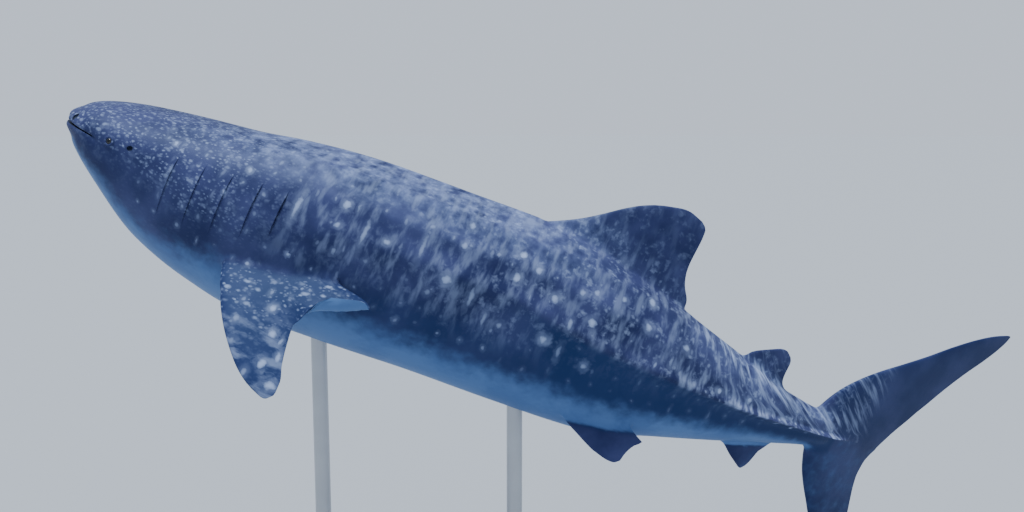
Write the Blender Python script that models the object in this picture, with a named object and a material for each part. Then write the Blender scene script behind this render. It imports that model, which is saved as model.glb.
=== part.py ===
"""Whale shark, life size, on a plain display stand.

Metres, +Z up. The head points toward -X and the left flank faces -Y. The origin is the middle of
the underside of the stand's base. Body places are given as a station, which is the distance from
the snout along the spine, and as side and up distances in that station's own plane. Stations and
cross sizes in the tables are shares of BODY_LENGTH.
"""

import math

import bmesh
import bpy
import numpy as np
from mathutils import Vector

# overall size and pose
BODY_LENGTH = 7.5        # snout to tip of the upper tail lobe
PITCH = math.radians(22.6)   # nose up
PIVOT = 0.42             # the station that the pose turns about
HEAD_BEND = math.radians(9.1)    # head turned to the shark's right
HEAD_DROP = math.radians(-4.1)
HEAD_BEND_FROM = 0.34
TAIL_BEND = math.radians(29.7)   # tail swept to the shark's right
TAIL_DROP = math.radians(-2.0)
TAIL_BEND_FROM = 0.46
TAIL_BEND_TO = 0.78
TAIL_BEND_EASE = 1.2
SPINE_END = 0.90
SPINE_STEPS = 720

# stand
TAIL_CLEARANCE = 0.05    # lower tail lobe to the floor
BALANCE_STATION = 0.322  # centre of mass, which stands over the middle of the base
BALANCE_SIDE = 0.045
BASE_LENGTH = 3.2
BASE_WIDTH = 1.7
BASE_THICK = 0.06
BASE_CORNER = 0.12
ROD_RADIUS = 0.055
ROD_STATIONS = {"front": 0.235, "rear": 0.435}
FLANGE_RADIUS = 0.17
FLANGE_THICK = 0.025
ROD_DEPTH = 0.72         # share of the belly's depth at which a rod ends before it is cut to the belly
ROD_SEGMENTS = 32
BASE_CORNER_STEPS = 6
BASE_RIM = 0.008
BASE_RIM_STEPS = 2

GAP = 0.0003             # between neighbouring parts

# body profile by station: heights above and below the spine line, and half widths
TOP = {0.0: .0156, .02: .028, .05: .037, .10: .049, .15: .059, .20: .070, .28: .081, .36: .085,
       .44: .088, .54: .073, .60: .0555, .66: .0405, .72: .0255, .78: .0185, .83: .0175}
BOTTOM = {0.0: .011, .02: .024, .05: .048, .10: .079, .15: .092, .20: .098, .28: .093, .36: .087,
          .44: .084, .54: .078, .60: .061, .66: .045, .72: .030, .78: .0196, .83: .0185}
HALF_WIDTH = {0.0: .058, .02: .069, .05: .077, .10: .082, .15: .085, .20: .086, .28: .083,
              .36: .077, .44: .070, .54: .055, .60: .044, .66: .034, .72: .027, .78: .0215,
              .80: .0165, .83: .005}
# superellipse powers: 2 is an ellipse, more is squarer
UPPER_POWER = {0.0: 2.3, .15: 2.15, .30: 2.05, .50: 1.9, .66: 1.75, .78: 1.55}
LOWER_POWER = {0.0: 2.3, .15: 2.2, .30: 2.15, .50: 2.0, .66: 1.85, .78: 1.65}

# ridges along each flank: angle up from the side, height, and how wide in radians
KEEL_ANGLE = {0.0: 0.0, .10: 0.0, .20: 9.0, .30: 15.0, .42: 16.0, .50: 9.5, .60: 5.0, .69: 0.0, .83: 0.0}
MIDDLE_ANGLE = {0.0: 17.7, .08: 17.7, .22: 33.0, .42: 35.0, .55: 33.0, .70: 30.0, .83: 30.0}
UPPER_ANGLE = {0.0: 43.5, .08: 43.5, .24: 56.0, .45: 53.0, .56: 60.0, .70: 60.0, .83: 60.0}
KEEL_HEIGHT = {0.0: 0.0, .24: 0.0, .32: .0016, .44: .0034, .60: .0040, .72: .0065, .79: .0085, .83: .001}
MIDDLE_HEIGHT = {0.0: 0.0, .20: 0.0, .28: .0024, .44: .0026, .56: .0012, .64: 0.0, .83: 0.0}
UPPER_HEIGHT = {0.0: 0.0, .16: 0.0, .24: .0024, .44: .0030, .56: .0016, .66: 0.0, .83: 0.0}
BACK_HEIGHT = {0.0: 0.0, .14: 0.0, .24: .0020, .42: .0022, .60: .0014, .70: 0.0, .83: 0.0}
RIDGE_WIDTH = 0.10
HOLLOW_UNDER_KEEL = {0.0: 0.0, .34: 0.0, .46: .0030, .62: .0030, .76: .0022, .83: 0.0}
HOLLOW_ANGLE = 0.30
HOLLOW_WIDTH = 0.20

# mouth: a wide slot across the blunt front of the head
MOUTH_HALF_WIDTH = .0735
MOUTH_FRONT = -.0045     # station of the lips' middle
MOUTH_CORNER = .0470     # station of the corners
MOUTH_POWER = 2.2
LIP_HEIGHT_MIDDLE = -.0015
LIP_HEIGHT_CORNER = .0015
LIP_OPENING = .0030      # half the opening at the middle
LIP_OPENING_CORNER = .0005
LIP_SWELL = .0020        # rolled edge of each lip
LIP_SWELL_AT = .07
LIP_GROOVE = .0013       # furrow behind it
LIP_GROOVE_AT = .25
LIP_FORM_WIDTH = .08
HEAD_BLEND_END = .062    # where the blunt front meets the plain sections
UPPER_LIP_LEAVES = (-.016, .006, .060)    # how the front sets off from the lips: back, side and up
LOWER_LIP_LEAVES = (-.004, .004, -.040)
FRONT_FULLNESS = 1.05
FRONT_PROBE = .002
FRONT_ROWS = (0.0, .05, .12, .21, .32, .45, .60, .80)   # share of the way from the lips to there
POCKET_ROWS = ((.0015, 1.15), (.008, 1.35), (.020, .8))   # depth behind the lips, opening there

# lower jaw: it is parted from the head along this outline of back and up, behind the lips
JAW_HINGE = .0530
JAW_OUTLINE = ((JAW_HINGE, -.004), (.068, -.040), (.092, -.105), (-.08, -.105), (-.08, LIP_HEIGHT_MIDDLE))
JAW_MIDDLE = (.02, -.06)
JAW_VOLUME_SIDE = .13
JAW_LIP_STEPS = 6
JAW_GROWTH = 1.6         # the clearance at its oblique corners, in gaps
BODY_GROWTH = 1.3        # the clearance round the whole body, in gaps

# gill slits: station, half height in degrees, middle angle in degrees
GILLS = ((.126, 22.0, 0.0), (.150, 21.0, 2.0), (.174, 20.0, 4.5), (.199, 17.5, 8.0), (.221, 15.0, 11.0))
GILL_RISE = .0017
GILL_DROP = .0022
GILL_LEAD = .013         # length of each flap's rise
GILL_TRAIL = .006
GILL_ROWS = (-.0058, 0.0, .0006, .0036)   # rows round a slit
GILL_CLEAR = (-.0091, .0060)              # no other rows between these

# node borders along the body
BORDERS = (("head", None, .0935), ("gill_region", .0935, .2365), ("trunk_front", .2365, .37),
           ("trunk_middle", .37, .50), ("trunk_rear", .50, .635), ("tail_stock", .635, .735),
           ("tail_peduncle", .735, None))
BODY_END = .828
STATION_STEP = .0135
# columns on one side, from belly to back: the numbers of those on the keel, both ridges and the back
COLUMN_ANCHORS = (7, 9, 11, 14)
COLUMN_CROWDING = 1.3    # how much closer together they lie near the keel

# eyes, spiracles and nostrils
EYE_RADIUS = .024
EYE_STATION = .0650
EYE_ANGLE = math.radians(6.0)
EYE_SUNK = .013          # ball centre behind the skin
SOCKET_GROWTH = 1.5      # clearance round the ball, in gaps
LID_RADIUS = .028
LID_THICK = .011
LID_FLATTEN = .8
LID_STEPS = (20, 8)
SPIRACLE_STATION = .0845
SPIRACLE_ANGLE = math.radians(9.0)
SPIRACLE_SIZE = (.020, .015, .015)      # along, across and into the head
NOSTRIL_ANGLE = math.radians(33.0)      # column of the lip that each sits over
NOSTRIL_ROW = .15
NOSTRIL_SIZE = (.020, .030, .016)
BARBEL_ANGLE = math.radians(38.0)
BARBEL_ROW = .065
BARBEL_SIZE = (.011, .021, .009)
SKIN_PROBE = .004        # step by which the skin's slope is felt
ROUND_STEPS = 16         # faces round the small rounded forms of the head

# upright fins: rows of height above the spine line, leading edge, trailing edge, thickness
FIRST_DORSAL = ((.0600, .446, .568, .0140), (.0662, .438, .581, .0125), (.0716, .434, .5785, .0118),
                (.0838, .4305, .5705, .0108), (.0905, .432, .568, .0100), (.0970, .445, .5665, .0092),
                (.1060, .4605, .566, .0084), (.1170, .476, .5665, .0074), (.1280, .4905, .567, .0064),
                (.1370, .505, .5665, .0054), (.1430, .519, .562, .0044), (.1470, .5345, .551, .0032))
SECOND_DORSAL = ((.0200, .664, .7025, .0070), (.0255, .660, .7135, .0062), (.0320, .657, .7085, .0056),
                 (.0400, .655, .7065, .0050), (.0465, .6565, .7065, .0045), (.0520, .665, .7065, .0040),
                 (.0570, .676, .7045, .0034), (.0610, .6855, .6995, .0026))
ANAL = ((-.0200, .680, .712, .0064), (-.0290, .672, .7300, .0054), (-.0345, .670, .7255, .0050),
        (-.0405, .6725, .7195, .0045), (-.0465, .681, .7175, .0040), (-.0530, .690, .7155, .0034),
        (-.0580, .6985, .7130, .0028), (-.0615, .7045, .7100, .0022))
# tail lobes: height, leading and trailing edge measured back from TAIL_ROOT
TAIL_ROOT = .78
UPPER_LOBE = ((.00002, -.010, .0965, .0190), (.0080, -.014, .1010, .0175), (.0180, -.015, .1070, .0150),
              (.0270, -.010, .1130, .0130), (.0380, -.0025, .1210, .0115), (.0500, .0085, .1290, .0102),
              (.0620, .0230, .1380, .0090), (.0770, .0455, .1485, .0080), (.0930, .0735, .1605, .0068),
              (.1100, .1025, .1745, .0056), (.1300, .1340, .1925, .0044), (.1480, .1660, .2065, .0034),
              (.1600, .1925, .2135, .0024), (.1645, .2065, .2150, .0016))
LOWER_LOBE = ((-.00002, -.010, .0965, .0190), (-.0100, -.012, .0915, .0170), (-.0200, -.007, .0880, .0150),
              (-.0320, -.0010, .0876, .0130), (-.0450, .0065, .0904, .0112), (-.0600, .0185, .0960, .0096),
              (-.0770, .0345, .1030, .0080), (-.0950, .0515, .1090, .0066), (-.1130, .0710, .1130, .0052),
              (-.1290, .0890, .1150, .0038), (-.1410, .1030, .1152, .0026), (-.1460, .1095, .1140, .0018))

# paired fins: rows of distance out, leading and trailing edge measured back from the root, thickness
PECTORAL_ROOT = (.187, .068, -.036)   # station, side, up
PECTORAL_TILT = math.radians(8.0)
PECTORAL_DROOP = (math.radians(35.0), math.radians(60.0))   # below level, at the root and the tip
LOBE_CHORD = (.087, .110)    # the free rear lobe curls up past the first, in full past the second
LOBE_FOLD = {.085: .0345, .0915: .0325, .1095: .0270, .1253: .0215, .1400: .0150}   # where, by chord
LOBE_FOLD_WIDTH = .014
LOBE_CURL = math.radians(112.0)
LOBE_REACH = (.043, .060)    # the curl fades out between these distances from the body
LOBE_FLARE = .018        # and the lobe stands off the flank
LOBE_FLARE_CHORD = (.045, .125)
LOBE_FLARE_SPAN = (.020, .080)
DROOP_STEPS = 24
PECTORAL_SPAN = .13
PECTORAL = ((-.030, -.002, .060, .0150), (-.010, .0000, .077, .0148), (-.0060, .0003, .097, .0140),
            (-.0025, .0005, .112, .0135), (.0010, .0008, .1245, .0130), (.0050, .0012, .1345, .0125),
            (.0110, .0030, .1405, .0118), (.0170, .0056, .1410, .0114), (.0225, .0078, .1385, .0112),
            (.0275, .0097, .1340, .0110), (.0320, .0115, .1270, .0107), (.0360, .0131, .1180, .0104),
            (.0400, .0150, .1070, .0100), (.0450, .0180, .0945, .0096), (.0540, .0222, .0872, .0090),
            (.0730, .0338, .0890, .0076), (.0910, .0478, .0925, .0062), (.1060, .0622, .0968, .0048),
            (.1150, .0748, .0968, .0036), (.1195, .0845, .0930, .0024))
PELVIC_ROOT = (.505, .030, -.050)
PELVIC_TILT = 0.0
PELVIC_DROOP = (math.radians(62.0), math.radians(54.0))
PELVIC_SPAN = .046
PELVIC = ((-.010, .008, .058, .0066), (.0060, .002, .0700, .0060), (.0105, .0, .0800, .0052),
          (.0170, .003, .0735, .0048), (.0240, .0175, .0690, .0042), (.0300, .0290, .0665, .0036),
          (.0335, .0365, .0655, .0031), (.0360, .0430, .0640, .0026), (.0373, .0490, .0615, .0020))
FIN_CHORD_STEPS = 8
PECTORAL_CHORD_STEPS = 14
FIN_EDGE = .0005         # thickness of a trailing edge
FIN_ROUNDING = (3.33, -2.82, -.51)   # of the half thickness, by root, first and second power of the chord

SKIN_DARK = (0.075, 0.105, 0.140)
SKIN_PALE = (0.62, 0.66, 0.66)
STAND_PAINT = (0.60, 0.61, 0.62)
EYE_BLACK = (0.012, 0.012, 0.014)


def smooth(table, place):
    """Monotone cubic through a table of station: value."""
    stations = np.array(list(table))
    values = np.array(list(table.values()))
    place = min(max(place, stations[0]), stations[-1])
    steps = np.diff(stations)
    rates = np.diff(values) / steps
    slopes = np.zeros(len(values))
    slopes[0] = rates[0]
    slopes[-1] = rates[-1]
    for i in range(1, len(rates)):
        if rates[i - 1] * rates[i] > 0:
            first = 2 * steps[i] + steps[i - 1]
            second = steps[i] + 2 * steps[i - 1]
            slopes[i] = (first + second) / (first / rates[i - 1] + second / rates[i])
    i = int(min(np.searchsorted(stations, place, side="right") - 1, len(rates) - 1))
    t = (place - stations[i]) / steps[i]
    return ((2 * t ** 3 - 3 * t ** 2 + 1) * values[i] + (t ** 3 - 2 * t ** 2 + t) * steps[i] * slopes[i]
            + (3 * t ** 2 - 2 * t ** 3) * values[i + 1] + (t ** 3 - t ** 2) * steps[i] * slopes[i + 1])


def trace_spine():
    """Stations, points and headings of the bent spine, before pitch, about the pivot."""
    stations = np.linspace(0, SPINE_END, SPINE_STEPS + 1)
    head = np.clip((HEAD_BEND_FROM - stations) / HEAD_BEND_FROM, 0, 1)
    tail = np.clip((stations - TAIL_BEND_FROM) / (TAIL_BEND_TO - TAIL_BEND_FROM), 0, 1) ** TAIL_BEND_EASE
    yaw = TAIL_BEND * tail - HEAD_BEND * head
    rise = HEAD_DROP * head + TAIL_DROP * tail
    along = np.stack([np.cos(yaw) * np.cos(rise), np.sin(yaw) * np.cos(rise), np.sin(rise)], 1)
    step = BODY_LENGTH * (stations[1] - stations[0])
    points = np.zeros((len(stations), 3))
    points[1:] = np.cumsum((along[1:] + along[:-1]) / 2 * step, 0)
    at_pivot = [np.interp(PIVOT, stations, points[:, k]) for k in range(3)]
    side = np.stack([-np.sin(yaw), np.cos(yaw), 0 * yaw], 1)
    return stations, points - at_pivot, along, side


SPINE = trace_spine()
PITCH_TURN = np.array([[math.cos(PITCH), 0, math.sin(PITCH)], [0, 1, 0],
                       [-math.sin(PITCH), 0, math.cos(PITCH)]])


def frame_at(station):
    """Pitched point and unit along, side and up directions at a station, pivot at zero."""
    stations, points, along, side = SPINE
    inside = min(max(station, 0), SPINE_END)
    point, ahead, right = (np.array([np.interp(inside, stations, rows[:, k]) for k in range(3)])
                           for rows in (points, along, side))
    ahead = ahead / np.linalg.norm(ahead)
    right = right / np.linalg.norm(right)
    point = point + ahead * (station - inside) * BODY_LENGTH
    up = np.cross(ahead, right)
    return PITCH_TURN @ point, PITCH_TURN @ ahead, PITCH_TURN @ right, PITCH_TURN @ up


def local_place(station, side, up, back=0.0):
    """Point from station, side, up and straight-back distances, all but the first in body lengths."""
    point, ahead, right, above = frame_at(station)
    return point + BODY_LENGTH * (ahead * back + right * side + above * up)


def stand_offset():
    """Shift that puts the balance point over the base and the tail just off the floor."""
    height, leading, trailing, _ = LOWER_LOBE[-1]
    tip = local_place(TAIL_ROOT, 0, height, (leading + trailing) / 2)
    balance = local_place(BALANCE_STATION, BALANCE_SIDE / BODY_LENGTH, 0)
    return np.array([-balance[0], -balance[1], TAIL_CLEARANCE - tip[2]])


OFFSET = stand_offset()


def place(station, side, up, back=0.0):
    return local_place(station, side, up, back) + OFFSET


def bump(place_on, middle, width):
    return math.exp(-((place_on - middle) / width) ** 2)


def ease(share):
    """Smooth step from 0 to 1."""
    share = min(max(share, 0.0), 1.0)
    return share * share * (3 - 2 * share)


def ease_between(ends, place_on):
    return ease((place_on - ends[0]) / (ends[1] - ends[0]))


def gill_shape(station, angle):
    """Outward shift at the gill slits: each flap swells, ends at its slit and drops behind it."""
    shift = 0.0
    for slit, half_height, middle in GILLS:
        reach = abs(angle - math.radians(middle)) / math.radians(half_height)
        if reach >= 1:
            continue
        window = (1 - reach ** 4) ** 1.5
        if slit - GILL_LEAD < station <= slit:
            shift += window * GILL_RISE * (1 - (slit - station) / GILL_LEAD) ** 2
        elif slit < station < slit + GILL_TRAIL:
            shift -= window * GILL_DROP * (1 - (station - slit) / GILL_TRAIL) ** 2
    return shift


def section_point(station, angle):
    """Side and up of the body surface; angle runs from -90 degrees at the belly to 90 at the back."""
    upper = angle > 0
    height = smooth(TOP if upper else BOTTOM, station)
    power = smooth(UPPER_POWER if upper else LOWER_POWER, station)
    keel = smooth(KEEL_HEIGHT, station)
    width = smooth(HALF_WIDTH, station)
    side = (width - keel) * max(math.cos(angle), 0.0) ** (2 / power)
    rise = height * abs(math.sin(angle)) ** (2 / power) * (1 if upper else -1)
    keel_angle = math.radians(smooth(KEEL_ANGLE, station))
    out = keel * bump(angle, keel_angle, RIDGE_WIDTH)
    middle_angle = math.radians(smooth(MIDDLE_ANGLE, station))
    upper_angle = math.radians(smooth(UPPER_ANGLE, station))
    out += smooth(MIDDLE_HEIGHT, station) * bump(angle, middle_angle, RIDGE_WIDTH)
    out += smooth(UPPER_HEIGHT, station) * bump(angle, upper_angle, RIDGE_WIDTH)
    out += smooth(BACK_HEIGHT, station) * bump(angle, math.pi / 2, RIDGE_WIDTH)
    out -= smooth(HOLLOW_UNDER_KEEL, station) * bump(angle, keel_angle - HOLLOW_ANGLE, HOLLOW_WIDTH)
    out += gill_shape(station, angle)
    return side + out * math.cos(angle), rise + out * math.sin(angle)


def column_angle(station, column):
    """Angle of a grid column, so that columns run along the ridges."""
    keel = math.radians(smooth(KEEL_ANGLE, station))
    if column <= COLUMN_ANCHORS[0]:
        from_keel = (1 - column / COLUMN_ANCHORS[0]) ** COLUMN_CROWDING
        return keel - (keel + math.pi / 2) * from_keel
    anchors = (keel, math.radians(smooth(MIDDLE_ANGLE, station)),
               math.radians(smooth(UPPER_ANGLE, station)), math.pi / 2)
    return float(np.interp(column, COLUMN_ANCHORS, anchors))


def lip_point(angle, depth=0.0, opening=1.0):
    """Back, side and up of the lip line for a column's angle, or of the mouth's wall behind it."""
    turn = math.pi / 2 - abs(angle)
    side = MOUTH_HALF_WIDTH * math.sin(turn) ** (2 / MOUTH_POWER)
    back = MOUTH_CORNER - (MOUTH_CORNER - MOUTH_FRONT) * max(math.cos(turn), 0) ** (2 / MOUTH_POWER)
    reach = (side / MOUTH_HALF_WIDTH) ** 2
    middle = LIP_HEIGHT_MIDDLE + (LIP_HEIGHT_CORNER - LIP_HEIGHT_MIDDLE) * reach
    half = (LIP_OPENING + (LIP_OPENING_CORNER - LIP_OPENING) * reach) * opening
    return back + depth * math.cos(turn), side - depth * math.sin(turn), middle + math.copysign(half, angle)


def front_point(angle, t):
    """Point of the blunt front: a curve from the lip, t 0, to the plain sections, t 1."""
    start = np.array(lip_point(angle))
    reach = start[1] / MOUTH_HALF_WIDTH
    end = np.array([HEAD_BLEND_END, *section_point(HEAD_BLEND_END, angle)])
    nearby = HEAD_BLEND_END + FRONT_PROBE
    onward = np.array([nearby, *section_point(nearby, angle)]) - end
    steep = abs(math.sin(angle))
    ahead, aside, upward = UPPER_LIP_LEAVES if angle > 0 else LOWER_LIP_LEAVES
    leave = np.array([ahead * steep, aside * reach, upward * steep]) + (end - start) * (1 - steep)
    arrive = onward / FRONT_PROBE * np.linalg.norm(end - start) * FRONT_FULLNESS
    point = ((2 * t ** 3 - 3 * t ** 2 + 1) * start + (t ** 3 - 2 * t ** 2 + t) * leave
             + (3 * t ** 2 - 2 * t ** 3) * end + (t ** 3 - t ** 2) * arrive)
    turn = math.pi / 2 - abs(angle)
    swell = LIP_SWELL * bump(t, LIP_SWELL_AT, LIP_FORM_WIDTH)
    swell -= LIP_GROOVE * bump(t, LIP_GROOVE_AT, LIP_FORM_WIDTH)
    return point + swell * (1 - reach ** 4) * np.array([-math.cos(turn), math.sin(turn), 0])


def full_ring(point_for):
    """World points of a ring, from the belly up the left side, over the back and down the right."""
    last = COLUMN_ANCHORS[-1]
    ring = []
    for column in range(2 * last):
        mirrored = column if column <= last else 2 * last - column
        back, side, up = point_for(mirrored)
        sign = -1 if column <= last else 1
        ring.append(place(back, sign * side, up))
    return ring


def ring_at(station):
    def point_for(column):
        side, up = section_point(station, column_angle(station, column))
        return station, side, up
    return full_ring(point_for)


def front_rings():
    """Rings from deep in the mouth out to the lips and back over the blunt front."""
    rings = []
    for depth, opening in reversed(POCKET_ROWS):
        rings.append(full_ring(lambda column, d=depth, o=opening: lip_point(head_angle(column), d, o)))
    for t in FRONT_ROWS:
        rings.append(full_ring(lambda column, t=t: front_point(head_angle(column), t)))
    return rings


def head_angle(column):
    """Column angles at the head; the corner column is shared by the upper and the lower lip."""
    return column_angle(0.0, column) if column != COLUMN_ANCHORS[0] else 1e-6


def body_stations():
    """Stations of every ring behind the blunt front, with rows at the borders and round each gill slit."""
    borders = [HEAD_BLEND_END] + [end for _, _, end in BORDERS[:-1]] + [BODY_END]
    rows = []
    for start, end in zip(borders, borders[1:]):
        count = max(2, math.ceil((end - start) / STATION_STEP))
        rows += list(np.linspace(start, end, count + 1))[:-1]
    rows.append(BODY_END)
    for slit, _, _ in GILLS:
        clear = (slit + GILL_CLEAR[0], slit + GILL_CLEAR[1])
        rows = [row for row in rows if row in borders or not clear[0] < row < clear[1]]
        rows += [slit + shift for shift in GILL_ROWS]
    return sorted(rows)


STATIONS = body_stations()


def stations_between(start, end):
    """The ends, half a gap short of any border, and the body's own rows between them."""
    margin = GAP / BODY_LENGTH
    return [start] + [row for row in STATIONS if start + margin < row < end - margin] + [end]


def loft(rings):
    """Closed mesh through rings of equal count, with a fan at each end."""
    mesh = bmesh.new()
    rows = [[mesh.verts.new(Vector(point)) for point in ring] for ring in rings]
    count = len(rows[0])
    for below, above in zip(rows, rows[1:]):
        for k in range(count):
            n = (k + 1) % count
            if k < count // 2:
                mesh.faces.new((below[k], above[k], above[n]))
                mesh.faces.new((below[k], above[n], below[n]))
            else:
                mesh.faces.new((below[k], above[k], below[n]))
                mesh.faces.new((above[k], above[n], below[n]))
    for row, outward in ((rows[0], False), (rows[-1], True)):
        close_ring(mesh, row, outward)
    bmesh.ops.recalc_face_normals(mesh, faces=mesh.faces)
    return mesh


def close_ring(mesh, row, outward):
    """Strip across a ring between its left and right columns."""
    count = len(row)
    half = count // 2
    for k in range(half):
        left, left_next = row[k], row[k + 1]
        right, right_next = row[-k % count], row[count - k - 1]
        corners = [left, left_next, right_next, right]
        unique = [corner for i, corner in enumerate(corners) if corner not in corners[:i]]
        mesh.faces.new(unique if outward else unique[::-1])


def close_mouth(mesh, row):
    """Strip across the back of the mouth between the upper and the lower columns."""
    count = len(row)
    corner = COLUMN_ANCHORS[0]
    for k in range(corner):
        low, low_next = row[k], row[k + 1]
        high, high_next = row[2 * corner - k], row[2 * corner - k - 1]
        add_face(mesh, (low, low_next, high_next, high))
        low, low_next = row[-k % count], row[count - k - 1]
        high, high_next = row[2 * corner + k], row[2 * corner + k + 1]
        add_face(mesh, (low, high, high_next, low_next))


def add_face(mesh, corners):
    unique = [corner for i, corner in enumerate(corners) if corner not in corners[:i]]
    if len(unique) > 2:
        mesh.faces.new(unique)


def body_mesh(start, end):
    """Closed length of the body; a start of None is the mouth and an end of None is the tail's root."""
    first = HEAD_BLEND_END if start is None else start
    last = BODY_END if end is None else end
    rings = front_rings() if start is None else []
    rings += [ring_at(station) for station in stations_between(first, last)]
    mesh = loft(rings)
    if start is None:
        mesh.faces.ensure_lookup_table()
        mesh.verts.ensure_lookup_table()
        row = mesh.verts[:len(rings[0])]
        caps = [face for face in mesh.faces if all(vert in row for vert in face.verts)]
        bmesh.ops.delete(mesh, geom=caps, context="FACES_ONLY")
        close_mouth(mesh, row)
        bmesh.ops.recalc_face_normals(mesh, faces=mesh.faces)
    return mesh


def foil_mesh(rows, point_for, steps=FIN_CHORD_STEPS):
    """Closed fin through rows of span, leading edge, trailing edge and thickness."""
    mesh = bmesh.new()
    shares = [(1 - math.cos(math.pi * k / steps)) / 2 for k in range(steps + 1)]
    sections = []
    for span, leading, trailing, thick in rows:
        section = []
        for face_side in (1, -1):
            points = []
            for share in shares:
                chord = leading + (trailing - leading) * share
                half = foil_half(share, thick)
                points.append(mesh.verts.new(Vector(point_for(chord, span, face_side * half))))
            section.append(points)
        sections.append(section)
    for (front_a, back_a), (front_b, back_b) in zip(sections, sections[1:]):
        for k in range(steps):
            mesh.faces.new((front_a[k], front_a[k + 1], front_b[k + 1]))
            mesh.faces.new((front_a[k], front_b[k + 1], front_b[k]))
            mesh.faces.new((back_a[k], back_b[k + 1], back_a[k + 1]))
            mesh.faces.new((back_a[k], back_b[k], back_b[k + 1]))
        for k in (0, steps):
            mesh.faces.new((front_a[k], front_b[k], back_b[k], back_a[k]))
    for front, back in (sections[0], sections[-1]):
        for k in range(steps):
            mesh.faces.new((front[k], back[k], back[k + 1], front[k + 1]))
    bmesh.ops.recalc_face_normals(mesh, faces=mesh.faces)
    return mesh


def foil_half(share, thick):
    """Half thickness across a fin: round in front, thickest at a third, thin behind."""
    edge = FIN_EDGE / 2
    root, first, second = FIN_ROUNDING
    fullness = root * math.sqrt(max(share, 0)) + first * share + second * share ** 2
    return max(edge, edge + (thick / 2 - edge) * min(1.0, fullness))


def upright(chord, span, half):
    """Fin in the body's middle plane, chord as station."""
    return place(chord, half, span)


def on_tail(chord, span, half):
    return place(TAIL_ROOT, half, span, chord)


def paired(root, tilt, droop, span_length, sign, lobed=False):
    """Place function of a fin that leaves one side of the body and droops."""
    station, side, up = root
    _, ahead, right, above = frame_at(station)
    start = place(station, sign * side, up)
    back = math.cos(tilt) * ahead + math.sin(tilt) * above
    rise = math.cos(tilt) * above - math.sin(tilt) * ahead

    def direction(angle):
        return math.cos(angle) * sign * right - math.sin(angle) * rise

    def droop_at(span):
        return droop[0] + (droop[1] - droop[0]) * min(max(span / span_length, 0), 1)

    def curl_at(chord, span):
        fold = ease((span - smooth(LOBE_FOLD, chord)) / LOBE_FOLD_WIDTH + .5)
        return LOBE_CURL * fold * ease_between(LOBE_CHORD, chord)

    def point_for(chord, span, half):
        reach = 0.0
        flare = 0.0
        if lobed:
            reach = 1 - ease_between(LOBE_REACH, span)
            flare = LOBE_FLARE * ease_between(LOBE_FLARE_CHORD, chord)
            flare *= 1 - ease_between(LOBE_FLARE_SPAN, span)
        spans = [span * (k + .5) / DROOP_STEPS for k in range(DROOP_STEPS)]
        out = sum(direction(droop_at(s) - reach * curl_at(chord, s)) for s in spans) * span / DROOP_STEPS
        normal = -direction(droop_at(span) - reach * curl_at(chord, span) + math.pi / 2)
        return start + BODY_LENGTH * (back * chord + out + sign * right * flare + normal * half)
    return point_for


def material(name, colour, roughness, metallic=0.0):
    made = bpy.data.materials.new(name)
    made.use_nodes = True
    shader = made.node_tree.nodes["Principled BSDF"]
    shader.inputs["Base Color"].default_value = (*colour, 1)
    shader.inputs["Roughness"].default_value = roughness
    shader.inputs["Metallic"].default_value = metallic
    made.diffuse_color = (*colour, 1)
    return made


def add_object(name, mesh, finish, group):
    """New object from a bmesh, in a collection and with a material."""
    data = bpy.data.meshes.new(name)
    mesh.to_mesh(data)
    mesh.free()
    made = bpy.data.objects.new(name, data)
    group.objects.link(made)
    if finish:
        data.materials.append(finish)
    return made


def as_cutter(made):
    made.hide_render = True
    made.display_type = "WIRE"
    return made


def boolean(target, other, operation):
    """Boolean that is applied at once."""
    bpy.context.view_layer.objects.active = target
    step = target.modifiers.new(operation.lower(), "BOOLEAN")
    step.object = other
    step.operation = operation
    step.solver = "EXACT"
    bpy.ops.object.modifier_apply(modifier=step.name)
    keep_largest(target)


def keep_largest(made):
    """Drops loose scraps, so that a node is one closed surface."""
    mesh = bmesh.new()
    mesh.from_mesh(made.data)
    bmesh.ops.remove_doubles(mesh, verts=mesh.verts, dist=1e-5)
    unseen = set(mesh.verts)
    shells = []
    while unseen:
        stack = [unseen.pop()]
        shell = set(stack)
        while stack:
            for edge in stack.pop().link_edges:
                for vert in edge.verts:
                    if vert in unseen:
                        unseen.discard(vert)
                        shell.add(vert)
                        stack.append(vert)
        shells.append(shell)
    largest = max(shells, key=len)
    loose = [vert for shell in shells if shell is not largest for vert in shell]
    bmesh.ops.delete(mesh, geom=loose, context="VERTS")
    bmesh.ops.triangulate(mesh, faces=mesh.faces)
    mesh.to_mesh(made.data)
    mesh.free()


def inflated_body():
    """Whole body grown by the gap, which clears the fins' roots and the rods."""
    mesh = body_mesh(None, None)
    mesh.normal_update()
    for vert in mesh.verts:
        vert.co += vert.normal * GAP * BODY_GROWTH
    return mesh


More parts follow.
